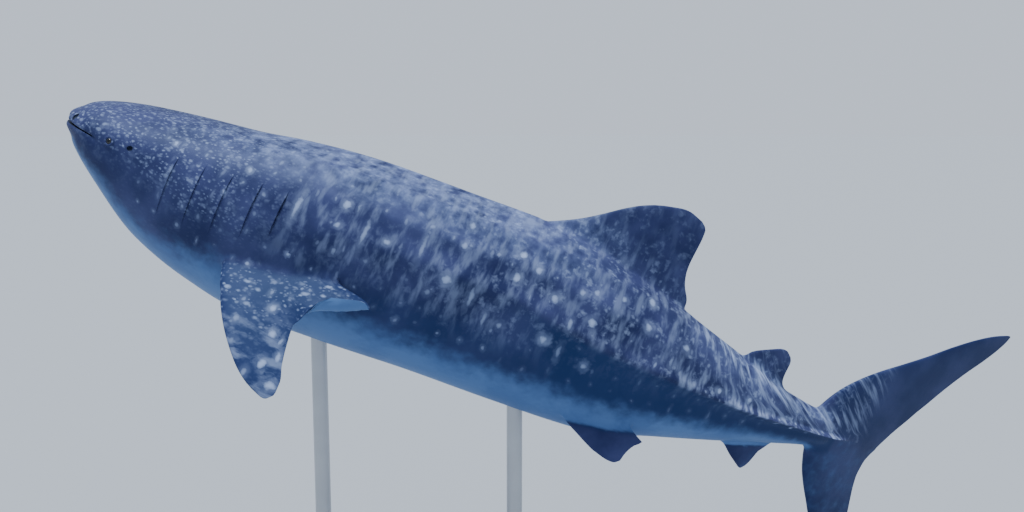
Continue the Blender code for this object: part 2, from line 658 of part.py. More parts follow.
def jaw_volume(grow):
    """Closed prism that holds the lower jaw: under the lips, ahead of the jaw's hinge line."""
    outline = []
    for k in range(JAW_LIP_STEPS + 1):
        back, _, up = lip_point(math.pi / 2 * (1 - k / JAW_LIP_STEPS), opening=0.0)
        outline.append((back, up))
    outline += JAW_OUTLINE
    middle = np.array(JAW_MIDDLE)
    mesh = bmesh.new()
    rows = []
    for sign in (-1, 1):
        row = []
        for back, up in outline:
            shift = np.array([back, up]) - middle
            out = shift / np.linalg.norm(shift) * grow / BODY_LENGTH
            row.append(mesh.verts.new(Vector(place(back + out[0], sign * JAW_VOLUME_SIDE, up + out[1]))))
        rows.append(row)
    count = len(outline)
    for k in range(count):
        n = (k + 1) % count
        mesh.faces.new((rows[0][k], rows[0][n], rows[1][n], rows[1][k]))
    mesh.faces.new(rows[0])
    mesh.faces.new(rows[1][::-1])
    bmesh.ops.triangulate(mesh, faces=mesh.faces)
    bmesh.ops.recalc_face_normals(mesh, faces=mesh.faces)
    return mesh


def skin_frame(point_for, first, second, sign):
    """World point of the head's skin, with its outward, level and third directions."""
    step = SKIN_PROBE

    def at(a, b):
        back, side, up = point_for(a, b)
        return Vector(place(back, sign * side, up))
    middle = at(first, second)
    one = at(first + step, second) - middle
    two = at(first, second + step) - middle
    outward = one.cross(two).normalized()
    if outward.dot(middle - Vector(place(HEAD_BLEND_END, 0, 0))) < 0:
        outward = -outward
    level = outward.cross(Vector((0, 0, 1))).normalized()
    return middle, outward, level, outward.cross(level)


def side_skin(station, angle):
    return (station, *section_point(station, angle))


def ball(centre, radius):
    mesh = bmesh.new()
    bmesh.ops.create_uvsphere(mesh, u_segments=ROUND_STEPS, v_segments=ROUND_STEPS // 2, radius=radius)
    bmesh.ops.translate(mesh, verts=mesh.verts, vec=Vector(centre))
    return mesh


def oval(frame, size):
    """Ellipsoid set on the skin: size along the level, the third and the outward direction."""
    middle, outward, level, third = frame
    mesh = bmesh.new()
    bmesh.ops.create_uvsphere(mesh, u_segments=ROUND_STEPS, v_segments=ROUND_STEPS // 2, radius=1)
    for vert in mesh.verts:
        x, y, z = vert.co
        vert.co = middle + level * x * size[0] + third * y * size[1] + outward * z * size[2]
    bmesh.ops.recalc_face_normals(mesh, faces=mesh.faces)
    return mesh


def lid_ring(frame):
    """Ring of skin round the eye."""
    middle, outward, level, third = frame
    mesh = bmesh.new()
    around, across = LID_STEPS
    rows = []
    for i in range(around):
        turn = 2 * math.pi * i / around
        spoke = level * math.cos(turn) + third * math.sin(turn)
        row = []
        for j in range(across):
            roll = 2 * math.pi * j / across
            reach = LID_RADIUS + LID_THICK * math.cos(roll)
            height = LID_THICK * LID_FLATTEN * math.sin(roll)
            row.append(mesh.verts.new(middle + spoke * reach + outward * height))
        rows.append(row)
    for i in range(around):
        for j in range(across):
            after, beside = rows[(i + 1) % around], (j + 1) % across
            mesh.faces.new((rows[i][j], after[j], after[beside], rows[i][beside]))
    bmesh.ops.recalc_face_normals(mesh, faces=mesh.faces)
    return mesh


def build_body(group, cutters, skin, pale):
    """Head, jaw, gill region, trunk and tail, each a length of one loft."""
    half_gap = GAP / 2 / BODY_LENGTH
    made = {}
    for name, start, end in BORDERS:
        first = None if start is None else start + half_gap
        last = None if end is None else end - half_gap
        made[name] = add_object(name, body_mesh(first, last), skin, group)
        keep_largest(made[name])
    jaw = add_object("lower_jaw", body_mesh(None, BORDERS[0][2] - half_gap), pale, group)
    keep_largest(jaw)
    inner = as_cutter(add_object("jaw_volume", jaw_volume(0.0), None, cutters))
    outer = as_cutter(add_object("jaw_clearance", jaw_volume(GAP * JAW_GROWTH), None, cutters))
    boolean(jaw, inner, "INTERSECT")
    boolean(made["head"], outer, "DIFFERENCE")
    return made["head"]


def build_face(group, cutters, head, finish):
    """Eyes in ringed sockets, spiracles behind them, and nostrils with barbels over the upper lip."""
    for side_name, sign in (("left", -1), ("right", 1)):
        at_eye = skin_frame(side_skin, EYE_STATION, EYE_ANGLE, sign)
        centre = at_eye[0] - at_eye[1] * EYE_SUNK
        add_object("eye_" + side_name, ball(centre, EYE_RADIUS), finish, group)
        at_spiracle = skin_frame(side_skin, SPIRACLE_STATION, SPIRACLE_ANGLE, sign)
        at_nostril = skin_frame(front_point, NOSTRIL_ANGLE, NOSTRIL_ROW, sign)
        at_barbel = skin_frame(front_point, BARBEL_ANGLE, BARBEL_ROW, sign)
        for name, mesh, operation in (
                ("lid", lid_ring(at_eye), "UNION"),
                ("socket", ball(centre, EYE_RADIUS + GAP * SOCKET_GROWTH), "DIFFERENCE"),
                ("spiracle", oval(at_spiracle, SPIRACLE_SIZE), "DIFFERENCE"),
                ("nostril", oval(at_nostril, NOSTRIL_SIZE), "DIFFERENCE"),
                ("barbel", oval(at_barbel, BARBEL_SIZE), "UNION")):
            tool = as_cutter(add_object(name + "_" + side_name, mesh, None, cutters))
            boolean(head, tool, operation)


def build_fins(group, cutters, skin):
    """Every fin, its root cut to the body's surface."""
    body = as_cutter(add_object("body_clearance", inflated_body(), None, cutters))
    middle_fins = (("first_dorsal_fin", FIRST_DORSAL, upright),
                   ("second_dorsal_fin", SECOND_DORSAL, upright),
                   ("anal_fin", ANAL, upright), ("caudal_upper_lobe", UPPER_LOBE, on_tail),
                   ("caudal_lower_lobe", LOWER_LOBE, on_tail))
    fins = [add_object(name, foil_mesh(rows, where), skin, group) for name, rows, where in middle_fins]
    for side_name, sign in (("left", -1), ("right", 1)):
        where = paired(PECTORAL_ROOT, PECTORAL_TILT, PECTORAL_DROOP, PECTORAL_SPAN, sign, lobed=True)
        mesh = foil_mesh(PECTORAL, where, PECTORAL_CHORD_STEPS)
        fins.append(add_object("pectoral_fin_" + side_name, mesh, skin, group))
        where = paired(PELVIC_ROOT, PELVIC_TILT, PELVIC_DROOP, PELVIC_SPAN, sign)
        fins.append(add_object("pelvic_fin_" + side_name, foil_mesh(PELVIC, where), skin, group))
    for fin in fins:
        keep_largest(fin)
        boolean(fin, body, "DIFFERENCE")
    return body


def build_stand(group, body, finish):
    """Flat base with two upright rods that reach the belly."""
    bpy.ops.mesh.primitive_cube_add(size=1, location=(0, 0, BASE_THICK / 2))
    base = bpy.context.object
    base.name = "stand_base"
    base.dimensions = (BASE_LENGTH, BASE_WIDTH, BASE_THICK)
    bpy.ops.object.transform_apply(location=False, rotation=False, scale=True)
    base.data.materials.append(finish)
    move_to(base, group)
    round_upright_edges(base)
    for name, station in ROD_STATIONS.items():
        foot = place(station, 0, 0)
        rod = bmesh.new()
        top = place(station, 0, -smooth(BOTTOM, station) * ROD_DEPTH)[2]
        bottom = BASE_THICK + GAP
        flange_top = bottom + FLANGE_THICK
        for radius, low, high in ((ROD_RADIUS, bottom, top), (FLANGE_RADIUS, bottom, flange_top)):
            verts = bmesh.ops.create_cone(rod, cap_ends=True, segments=ROD_SEGMENTS, radius1=radius,
                                          radius2=radius, depth=high - low)["verts"]
            bmesh.ops.translate(rod, verts=verts, vec=(foot[0], foot[1], (low + high) / 2))
        made = add_object("stand_rod_" + name, rod, finish, group)
        join_shells(made)
        boolean(made, body, "DIFFERENCE")


def move_to(made, group):
    for old in list(made.users_collection):
        old.objects.unlink(made)
    group.objects.link(made)


def round_upright_edges(base):
    """Rounds the base's four upright corners and eases its rims."""
    mesh = bmesh.new()
    mesh.from_mesh(base.data)
    upright_edges = [edge for edge in mesh.edges
                     if abs(edge.verts[0].co.z - edge.verts[1].co.z) > BASE_THICK / 2]
    bmesh.ops.bevel(mesh, geom=upright_edges, offset=BASE_CORNER, segments=BASE_CORNER_STEPS,
                    profile=.5, affect="EDGES")
    rims = [edge for edge in mesh.edges
            if edge.verts[0].co.z > 0 and edge.verts[1].co.z > 0 and edge.calc_face_angle(0) > 1]
    bmesh.ops.bevel(mesh, geom=rims, offset=BASE_RIM, segments=BASE_RIM_STEPS, profile=.5, affect="EDGES")
    mesh.to_mesh(base.data)
    mesh.free()


def join_shells(made):
    """Union of the overlapping closed shells in one mesh, by Boolean against its own second shell."""
    parts = split_shells(made)
    for other in parts[1:]:
        step = made.modifiers.new("union", "BOOLEAN")
        step.object = other
        step.operation = "UNION"
        step.solver = "EXACT"
        bpy.context.view_layer.objects.active = made
        bpy.ops.object.modifier_apply(modifier=step.name)
        bpy.data.objects.remove(other)


def split_shells(made):
    """Moves every shell but the first to an object of its own."""
    bpy.ops.object.select_all(action="DESELECT")
    made.select_set(True)
    bpy.context.view_layer.objects.active = made
    bpy.ops.object.mode_set(mode="EDIT")
    bpy.ops.mesh.separate(type="LOOSE")
    bpy.ops.object.mode_set(mode="OBJECT")
    others = [other for other in bpy.context.selected_objects if other is not made]
    return [made] + others


def main():
    for old in list(bpy.data.objects):
        bpy.data.objects.remove(old)
    group = bpy.data.collections.new("whale_shark")
    cutters = bpy.data.collections.new("cutters")
    for made in (group, cutters):
        bpy.context.scene.collection.children.link(made)
    skin = material("skin_dark", SKIN_DARK, 0.55)
    pale = material("skin_pale", SKIN_PALE, 0.55)
    eye = material("eye", EYE_BLACK, 0.08)
    stand = material("stand_paint", STAND_PAINT, 0.40, 0.25)
    head = build_body(group, cutters, skin, pale)
    build_face(group, cutters, head, eye)
    body = build_fins(group, cutters, skin)
    build_stand(group, body, stand)


main()
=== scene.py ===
# Whale shark on a display stand: its skin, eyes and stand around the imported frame.
import math
import random
from math import radians

import bmesh
import bpy
import numpy as np
from mathutils import Matrix, Vector, kdtree
from numpy.linalg import norm


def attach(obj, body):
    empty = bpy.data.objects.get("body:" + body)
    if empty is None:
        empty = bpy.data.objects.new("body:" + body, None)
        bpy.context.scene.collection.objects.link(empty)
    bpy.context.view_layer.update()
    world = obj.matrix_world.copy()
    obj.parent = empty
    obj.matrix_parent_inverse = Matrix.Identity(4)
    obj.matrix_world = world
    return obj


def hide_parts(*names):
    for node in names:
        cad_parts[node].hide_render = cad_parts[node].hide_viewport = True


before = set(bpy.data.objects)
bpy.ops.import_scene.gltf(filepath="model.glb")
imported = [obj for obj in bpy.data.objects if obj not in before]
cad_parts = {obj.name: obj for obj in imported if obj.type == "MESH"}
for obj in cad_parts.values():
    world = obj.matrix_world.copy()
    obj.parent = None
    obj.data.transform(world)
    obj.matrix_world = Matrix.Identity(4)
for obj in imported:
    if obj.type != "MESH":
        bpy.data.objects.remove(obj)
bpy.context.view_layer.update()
print("frame loaded,", len(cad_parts), "nodes")

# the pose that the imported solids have
pose = {
    "length": 7.5, "pitch": 22.6, "pivot": .42, "headBend": 9.1, "headDrop": -4.1, "headFrom": .34,
    "tailBend": 29.7, "tailDrop": -2.0, "tail": (.46, .78), "tailEase": 1.2,
    "spineEnd": 1.02, "spineStep": .00125,
    "tailClearance": .05, "balanceStation": .322, "balanceSide": .045,
}
long = pose["length"]

# sections by station: heights, widths and powers, in shares of the length
profile = {
    "top": {0: .0156, .02: .028, .05: .037, .1: .049, .15: .059, .2: .07, .28: .081, .36: .085,
            .44: .088, .54: .073, .6: .0555, .66: .0405, .72: .0255, .78: .0185, .83: .0175},
    "bottom": {0: .011, .02: .024, .05: .048, .1: .079, .15: .092, .2: .098, .28: .093, .36: .087,
               .44: .084, .54: .078, .6: .061, .66: .045, .72: .03, .78: .0196, .83: .0185},
    "halfWidth": {0: .058, .02: .069, .05: .077, .1: .082, .15: .085, .2: .086, .28: .083,
                  .36: .077, .44: .07, .54: .055, .6: .044, .66: .034, .72: .027, .78: .0215,
                  .8: .0165, .83: .005},
    "upperPower": {0: 2.3, .15: 2.15, .3: 2.05, .5: 1.9, .66: 1.75, .78: 1.55},
    "lowerPower": {0: 2.3, .15: 2.2, .3: 2.15, .5: 2.0, .66: 1.85, .78: 1.65},
}

# ridges along each flank by station: degrees up from the side, and height
ridges = {
    "keelAngle": {0: 0, .1: 0, .2: 9, .3: 15, .42: 16, .5: 9.5, .6: 5, .69: 0, .83: 0},
    "middleAngle": {0: 17.7, .08: 17.7, .22: 33, .42: 35, .55: 33, .7: 30, .83: 30},
    "upperAngle": {0: 43.5, .08: 43.5, .24: 56, .45: 53, .56: 60, .7: 60, .83: 60},
    "keelHeight": {0: 0, .24: 0, .32: .0016, .44: .0034, .6: .004, .72: .0065, .79: .0085, .83: .001},
    "middleHeight": {0: 0, .2: 0, .28: .0024, .44: .0026, .56: .0012, .64: 0, .83: 0},
    "upperHeight": {0: 0, .16: 0, .24: .0024, .44: .003, .56: .0016, .66: 0, .83: 0},
    "backHeight": {0: 0, .14: 0, .24: .002, .42: .0022, .6: .0014, .7: 0, .83: 0},
    "width": .1,
    "hollow": {0: 0, .34: 0, .46: .003, .62: .003, .76: .0022, .83: 0},
    "hollowAngle": .3, "hollowWidth": .2,
}

mouth = {
    "halfWidth": .0735, "front": -.0045, "corner": .047, "power": 2.2,
    "height": (-.0015, .0015), "opening": (.003, .0005),    # from the middle to the corner
    "swell": .002, "swellAt": .07, "groove": .0013, "grooveAt": .25, "formWidth": .08,
    "blendEnd": .062, "fullness": 1.05, "probe": .002,
    "upperLeaves": (-.016, .006, .06), "lowerLeaves": (-.004, .004, -.04),
    "rows": 26, "rowEase": 1.5,
    "pocket": ((.0008, 1.05), (.0025, 1.1), (.005, .9), (.008, .5), (.012, .16), (.02, .12)),
}

# slits: station, half height and middle in degrees
gills = {
    "slits": ((.126, 22, 0), (.15, 21, 2), (.174, 20, 4.5), (.199, 17.5, 8), (.221, 15, 11)),
    "rise": .0014, "drop": .0011, "lead": .013, "trail": .0034,
    # the second list is painted shade inside each slit
    "depth": (.45, .5, .55, .7, 1), "slitShading": (0, .03, .06, .25, .7),
    "rows": (-.0125, -.0095, -.0065, -.004, -.002, -.0007, 0, .0002, .0006, .0012, .0022, .0036),
}

body = {
    "end": .828, "step": .0026, "slitMargin": .0015, "finEnd": .03,
    "halfColumns": 88, "corner": 44, "anchors": (44, 56.6, 69.1, 88), "crowding": 1.15,
}


def hermite(t, start, leave, end, arrive):
    return ((2 * t ** 3 - 3 * t ** 2 + 1) * start + (t ** 3 - 2 * t ** 2 + t) * leave
            + (3 * t ** 2 - 2 * t ** 3) * end + (t ** 3 - t ** 2) * arrive)


def tableAt(table, places):
    # monotone cubic through a table of station: value
    stations, values = np.array(list(table), float), np.array(list(table.values()), float)
    places = np.clip(places, stations[0], stations[-1])
    steps = np.diff(stations)
    rates = np.diff(values) / steps
    slopes = np.zeros(len(values))
    slopes[0], slopes[-1] = rates[0], rates[-1]
    for i in range(1, len(rates)):
        if rates[i - 1] * rates[i] > 0:
            first, second = 2 * steps[i] + steps[i - 1], steps[i] + 2 * steps[i - 1]
            slopes[i] = (first + second) / (first / rates[i - 1] + second / rates[i])
    i = np.clip(np.searchsorted(stations, places, side="right") - 1, 0, len(rates) - 1)
    return hermite((places - stations[i]) / steps[i], values[i], steps[i] * slopes[i],
                   values[i + 1], steps[i] * slopes[i + 1])


def ease(share):
    share = np.clip(share, 0, 1)
    return share * share * (3 - 2 * share)


def ramp(value, low, high):
    return ease((value - low) / (high - low))


def bump(place, middle, width):
    return np.exp(-((place - middle) / width) ** 2)


def traceSpine():
    stations = np.arange(0, pose["spineEnd"] + pose["spineStep"] / 2, pose["spineStep"])
    head = np.clip((pose["headFrom"] - stations) / pose["headFrom"], 0, 1)
    first, last = pose["tail"]
    tail = np.clip((stations - first) / (last - first), 0, 1) ** pose["tailEase"]
    yaw = radians(pose["tailBend"]) * tail - radians(pose["headBend"]) * head
    rise = radians(pose["headDrop"]) * head + radians(pose["tailDrop"]) * tail
    along = np.stack([np.cos(yaw) * np.cos(rise), np.sin(yaw) * np.cos(rise), np.sin(rise)], 1)
    points = np.zeros((len(stations), 3))
    points[1:] = np.cumsum((along[1:] + along[:-1]) / 2 * long * pose["spineStep"], 0)
    points -= [np.interp(pose["pivot"], stations, points[:, k]) for k in range(3)]
    side = np.stack([-np.sin(yaw), np.cos(yaw), 0 * yaw], 1)
    pitch = radians(pose["pitch"])
    sine, cosine = math.sin(pitch), math.cos(pitch)
    turn = np.array([[cosine, 0, sine], [0, 1, 0], [-sine, 0, cosine]])
    return stations, points @ turn.T, along @ turn.T, side @ turn.T


spine = traceSpine()
offset = np.zeros(3)        # from the spine to the model's place on the stand, set below


def spineAt(stations):
    inside = np.clip(stations, 0, pose["spineEnd"])
    point, ahead, right = (np.stack([np.interp(inside, spine[0], rows[:, k]) for k in range(3)], -1)
                           for rows in spine[1:])
    ahead /= norm(ahead, axis=-1, keepdims=True)
    right /= norm(right, axis=-1, keepdims=True)
    point = point + ahead * ((stations - inside) * long)[..., None]
    return point, ahead, right, np.cross(ahead, right)


def place(station, side, up, back=0):
    station, side, up, back = np.broadcast_arrays(station, side, up, back)
    point, ahead, right, above = spineAt(station)
    apart = ahead * back[..., None] + right * side[..., None] + above * up[..., None]
    return point + long * apart + offset


def gillShape(station, angle):
    shift = 0 * (station + angle)
    slitShade = 0 * shift
    for (slit, halfHeight, middle), depth, dark in zip(gills["slits"], gills["depth"], gills["slitShading"]):
        reach = np.abs(angle - radians(middle)) / radians(halfHeight)
        window = np.clip(1 - reach ** 4, 0, 1) ** 1.5
        before = (station > slit - gills["lead"]) & (station <= slit)
        after = (station > slit) & (station < slit + gills["trail"])
        climb = (1 - (slit - station) / gills["lead"]) ** 2
        shift = shift + before * window * depth * gills["rise"] * climb
        fall = np.clip(1 - (station - slit) / gills["trail"], 0, 1)
        shift = shift - after * window * depth * gills["drop"] * fall ** 2
        slitShade = np.maximum(slitShade, after * window * fall ** 8 * dark)
    return shift, slitShade


def ridgeAngle(name, station):
    return np.radians(tableAt(ridges[name + "Angle"], station))


def outline(station, upper):
    # height, half width and power of the section, toward the back or the belly
    top, bottom, width, topPower, bottomPower = (tableAt(table, station) for table in profile.values())
    return np.where(upper, top, bottom), width, np.where(upper, topPower, bottomPower)


def sectionAt(station, angle):
    # side and up of the body's surface, from -90 degrees at the belly to 90 at the back
    upper = angle > 0
    height, width, power = outline(station, upper)
    keel = tableAt(ridges["keelHeight"], station)
    side = (width - keel) * np.maximum(np.cos(angle), 0) ** (2 / power)
    rise = height * np.abs(np.sin(angle)) ** (2 / power) * np.where(upper, 1, -1)
    out = 0
    for name in ("keel", "middle", "upper"):
        raised = tableAt(ridges[name + "Height"], station)
        out = out + raised * bump(angle, ridgeAngle(name, station), ridges["width"])
    out = out + tableAt(ridges["backHeight"], station) * bump(angle, math.pi / 2, ridges["width"])
    hollow = bump(angle, ridgeAngle("keel", station) - ridges["hollowAngle"], ridges["hollowWidth"])
    out = out - tableAt(ridges["hollow"], station) * hollow + gillShape(station, angle)[0]
    return side + out * np.cos(angle), rise + out * np.sin(angle)


def sidePoint(station, angle):
    # a point of the surface as station, side and up
    station = station + 0 * np.asarray(angle, float)
    return np.stack([station, *sectionAt(station, angle)], -1)


def columnAngles(station):
    # angles of one side's columns at a station, crowded toward the keel
    columns = np.arange(body["halfColumns"] + 1)
    anchors = [*(ridgeAngle(name, station) for name in ("keel", "middle", "upper")), math.pi / 2]
    fromKeel = np.clip(1 - columns / body["corner"], 0, 1) ** body["crowding"]
    lower = anchors[0] - (anchors[0] + math.pi / 2) * fromKeel
    return np.where(columns <= body["corner"], lower, np.interp(columns, body["anchors"], anchors))


def lipLine(angle, depth=0, opening=1):
    turn = math.pi / 2 - np.abs(angle)
    power = 2 / mouth["power"]
    side = mouth["halfWidth"] * np.sin(turn) ** power
    back = mouth["corner"] - (mouth["corner"] - mouth["front"]) * np.maximum(np.cos(turn), 0) ** power
    reach = (side / mouth["halfWidth"]) ** 2
    middle, half = (first + (last - first) * reach for first, last in (mouth["height"], mouth["opening"]))
    up = middle + np.copysign(half * opening, angle)
    return np.stack([back + depth * np.cos(turn), side - depth * np.sin(turn), up], -1)


def frontPoint(angle, t):
    # the blunt front, from the lip at t 0 to the plain sections at t 1
    angle = np.asarray(angle, float)
    start = lipLine(angle)
    reach = start[..., 1] / mouth["halfWidth"]
    end = sidePoint(mouth["blendEnd"], angle)
    onward = sidePoint(mouth["blendEnd"] + mouth["probe"], angle) - end
    steep = np.abs(np.sin(angle))
    leaves = np.where((angle > 0)[..., None], mouth["upperLeaves"], mouth["lowerLeaves"])
    leave = leaves * np.stack([steep, reach, steep], -1) + (end - start) * (1 - steep)[..., None]
    length = norm(end - start, axis=-1, keepdims=True)
    point = hermite(t, start, leave, end, onward / mouth["probe"] * length * mouth["fullness"])
    turn = math.pi / 2 - np.abs(angle)
    swell = mouth["swell"] * bump(t, mouth["swellAt"], mouth["formWidth"])
    swell -= mouth["groove"] * bump(t, mouth["grooveAt"], mouth["formWidth"])
    lift = swell * (1 - reach ** 4)
    return point + lift[..., None] * np.stack([-np.cos(turn), np.sin(turn), 0 * turn], -1)


def bodyRings():
    angles = columnAngles(0)
    angles[body["corner"]] = 1e-6       # this column goes to the upper lip
    rings = [lipLine(angles, depth, opening) for depth, opening in reversed(mouth["pocket"])]
    rings += [frontPoint(angles, (k / mouth["rows"]) ** mouth["rowEase"]) for k in range(mouth["rows"])]
    count = round((body["end"] - mouth["blendEnd"]) / body["step"]) + 1
    stations = np.linspace(mouth["blendEnd"], body["end"], count)
    for slit, _, _ in gills["slits"]:
        rows = slit + np.array(gills["rows"])
        keep = (stations < rows[0] - body["slitMargin"]) | (stations > rows[-1] + body["slitMargin"])
        stations = np.concatenate([stations[keep], rows])
    rings += [sidePoint(station, columnAngles(station)) for station in np.sort(stations)]
    # whole rings from one side's, belly first
    return [place(*np.concatenate([ring * [1, -1, 1], ring[-2:0:-1]]).T) for ring in rings]


# what each face belongs to, kept through every step of modelling
kinds = {"body": 0, "mouth": 1, "fin": 2, "finUnder": 3, "lid": 4, "cut": 5}


def markFaces(made, values):
    made.data.attributes.new("kind", "INT", "FACE").data.foreach_set("value", values)


def read(items, name, width=1, kind=float):
    found = np.zeros(len(items) * width, kind)
    items.foreach_get(name, found)
    return found if width == 1 else found.reshape(-1, width)


def facesOf(made, *names):
    # which faces are of these kinds
    found = read(made.data.attributes["kind"].data, "value", kind=int)
    return np.isin(found, [kinds[name] for name in names])


def meshFrom(name, points, faces):
    data = bpy.data.meshes.new(name)
    data.from_pydata(points, [], faces)
    made = bpy.data.objects.new(name, data)
    bpy.context.scene.collection.objects.link(made)
    return made


def outward(made):
    mesh = bmesh.new()
    mesh.from_mesh(made.data)
    bmesh.ops.remove_doubles(mesh, verts=mesh.verts, dist=1e-6)
    bmesh.ops.recalc_face_normals(mesh, faces=mesh.faces)
    mesh.to_mesh(made.data)
    mesh.free()
    return made


def makeBody():
    rings = bodyRings()
    count = len(rings[0])
    corner = body["corner"]
    faces = []
    for row in range(len(rings) - 1):
        low, high = row * count, (row + 1) * count
        for k in range(count):
            n = (k + 1) % count
            faces.append((low + k, high + k, high + n, low + n))
    for k in range(corner):     # back of the mouth
        faces.append((k, k + 1, 2 * corner - k - 1, 2 * corner - k))
        faces.append((-k % count, 2 * corner + k, 2 * corner + k + 1, count - k - 1))
    last = (len(rings) - 1) * count
    for k in range(count // 2):     # tail end, inside the tail fin
        faces.append((last + k, last + k + 1, last + count - k - 1, last + (-k % count)))
    faces = [tuple(dict.fromkeys(face)) for face in faces]
    made = meshFrom("sharkSkin", np.concatenate(rings), faces)
    pocket = len(mouth["pocket"]) * count
    markFaces(made, [kinds["mouth"] if min(face) < pocket else kinds["body"] for face in faces])
    return outward(made)


# upright fins: height, leading edge, trailing edge and thickness of each row
firstDorsal = (
    (.06, .446, .568, .014), (.0662, .438, .581, .0125), (.0716, .434, .5785, .0118),
    (.0838, .4305, .5705, .0108), (.0905, .432, .568, .01), (.097, .445, .5665, .0092),
    (.106, .4605, .566, .0084), (.117, .476, .5665, .0074), (.128, .4905, .567, .0064),
    (.137, .505, .5665, .0054), (.143, .519, .562, .0044), (.147, .5345, .551, .0032))
secondDorsal = (
    (.02, .664, .7025, .007), (.0255, .66, .7135, .0062), (.032, .657, .7085, .0056),
    (.04, .655, .7065, .005), (.0465, .6565, .7065, .0045), (.052, .665, .7065, .004),
    (.057, .676, .7045, .0034), (.061, .6855, .6995, .0026))
analFin = (
    (-.02, .68, .712, .0064), (-.029, .672, .73, .0054), (-.0345, .67, .7255, .005),
    (-.0405, .6725, .7195, .0045), (-.0465, .681, .7175, .004), (-.053, .69, .7155, .0034),
    (-.058, .6985, .713, .0028), (-.0615, .7045, .71, .0022))
tailRoot = .78      # both tail lobes are measured back from here
upperLobe = (
    (-.003, -.01, .095, .019), (.00002, -.01, .0965, .019), (.008, -.014, .101, .0175),
    (.018, -.015, .107, .015), (.027, -.01, .113, .013), (.038, -.0025, .121, .0115),
    (.05, .0085, .129, .0102), (.062, .023, .138, .009), (.077, .0455, .1485, .008),
    (.093, .0735, .1605, .0068), (.11, .1025, .1745, .0056), (.13, .134, .1925, .0044),
    (.148, .166, .2065, .0034), (.16, .1925, .2135, .0024), (.1645, .2065, .215, .0016))
lowerLobe = (
    (.003, -.01, .0965, .019), (-.00002, -.01, .0965, .019), (-.01, -.012, .0915, .017),
    (-.02, -.007, .088, .015), (-.032, -.001, .0876, .013), (-.045, .0065, .0904, .0112),
    (-.06, .0185, .096, .0096), (-.077, .0345, .103, .008), (-.095, .0515, .109, .0066),
    (-.113, .071, .113, .0052), (-.129, .089, .115, .0038), (-.141, .103, .1152, .0026),
    (-.146, .1095, .114, .0018))
# paired fins: rows of distance out, leading and trailing edge back from the root, thickness
pectoral = {
    "root": (.187, .068, -.036), "tilt": 8, "droop": (35, 60), "span": .13,
    "rows": (
        (-.03, -.002, .06, .015), (-.01, 0, .077, .0148), (-.006, .0003, .097, .014),
        (-.0025, .0005, .112, .0135), (.001, .0008, .1245, .013), (.005, .0012, .1345, .0125),
        (.011, .003, .1405, .0118), (.017, .0056, .141, .0114), (.0225, .0078, .1385, .0112),
        (.0275, .0097, .134, .011), (.032, .0115, .127, .0107), (.036, .0131, .118, .0104),
        (.04, .015, .107, .01), (.045, .018, .0945, .0096), (.054, .0222, .0872, .009),
        (.073, .0338, .089, .0076), (.091, .0478, .0925, .0062), (.106, .0622, .0968, .0048),
        (.115, .0748, .0968, .0036), (.1195, .0845, .093, .0024)),
    "lobeChord": (.087, .11), "foldWidth": .014, "curl": 112, "reach": (.043, .06),
    "fold": {.085: .0345, .0915: .0325, .1095: .027, .1253: .0215, .14: .015},
    "flare": .018, "flareChord": (.045, .125), "flareSpan": (.02, .08),
}
pelvic = {
    "root": (.505, .03, -.05), "tilt": 0, "droop": (62, 54), "span": .046,
    "rows": (
        (-.01, .008, .058, .0066), (.006, .002, .07, .006), (.0105, 0, .08, .0052),
        (.017, .003, .0735, .0048), (.024, .0175, .069, .0042), (.03, .029, .0665, .0036),
        (.0335, .0365, .0655, .0031), (.036, .043, .064, .0026), (.0373, .049, .0615, .002)),
}
finForm = {"edge": .0005, "rounding": (3.33, -2.82, -.51), "rowStep": .003, "chordStep": .0034,
           "tipShares": (.25, .5, .72, .9), "bendSteps": 24, "joins": (.085, 14), "softness": .6}


def standOffset():
    height, leading, trailing, _ = lowerLobe[-1]
    tip = place(tailRoot, 0, height, (leading + trailing) / 2)
    balance = place(pose["balanceStation"], pose["balanceSide"] / long, 0)
    return np.array([-balance[0], -balance[1], pose["tailClearance"] - tip[2]])


offset = standOffset()


def foilHalf(share, thick):
    edge = finForm["edge"] / 2
    root, first, second = finForm["rounding"]
    fullness = root * np.sqrt(share) + first * share + second * share ** 2
    return np.maximum(edge, edge + (thick / 2 - edge) * np.minimum(1, fullness))


def finRows(rows):
    # the fin's own rows, smoothed and closed over a rounded tip
    rows = np.array(rows)
    sign = 1 if rows[-1, 0] > rows[0, 0] else -1
    tables = [dict(zip(rows[:, 0] * sign, rows[:, k])) for k in (1, 2, 3)]
    low, high = rows[0, 0] * sign, rows[-1, 0] * sign
    spans = np.linspace(low, high, max(8, math.ceil((high - low) / finForm["rowStep"])) + 1)
    made = [np.stack([spans * sign] + [tableAt(t, spans) for t in tables], -1)]
    span, leading, trailing, thick = rows[-1]
    slopes = (rows[-1] - rows[-2]) / abs(rows[-1, 0] - rows[-2, 0])
    half = (trailing - leading) / 2
    length = half / 2 / max((slopes[1] - slopes[2]) / 2, .5)
    for share in finForm["tipShares"]:
        out = length * (1 - (1 - share) ** 2)
        middle = (leading + trailing) / 2 + out * (slopes[1] + slopes[2]) / 2
        shrunk = half * (1 - share)
        made.append([[span + sign * out, middle - shrunk, middle + shrunk, thick * (1 - share) ** .5]])
    return np.concatenate(made)


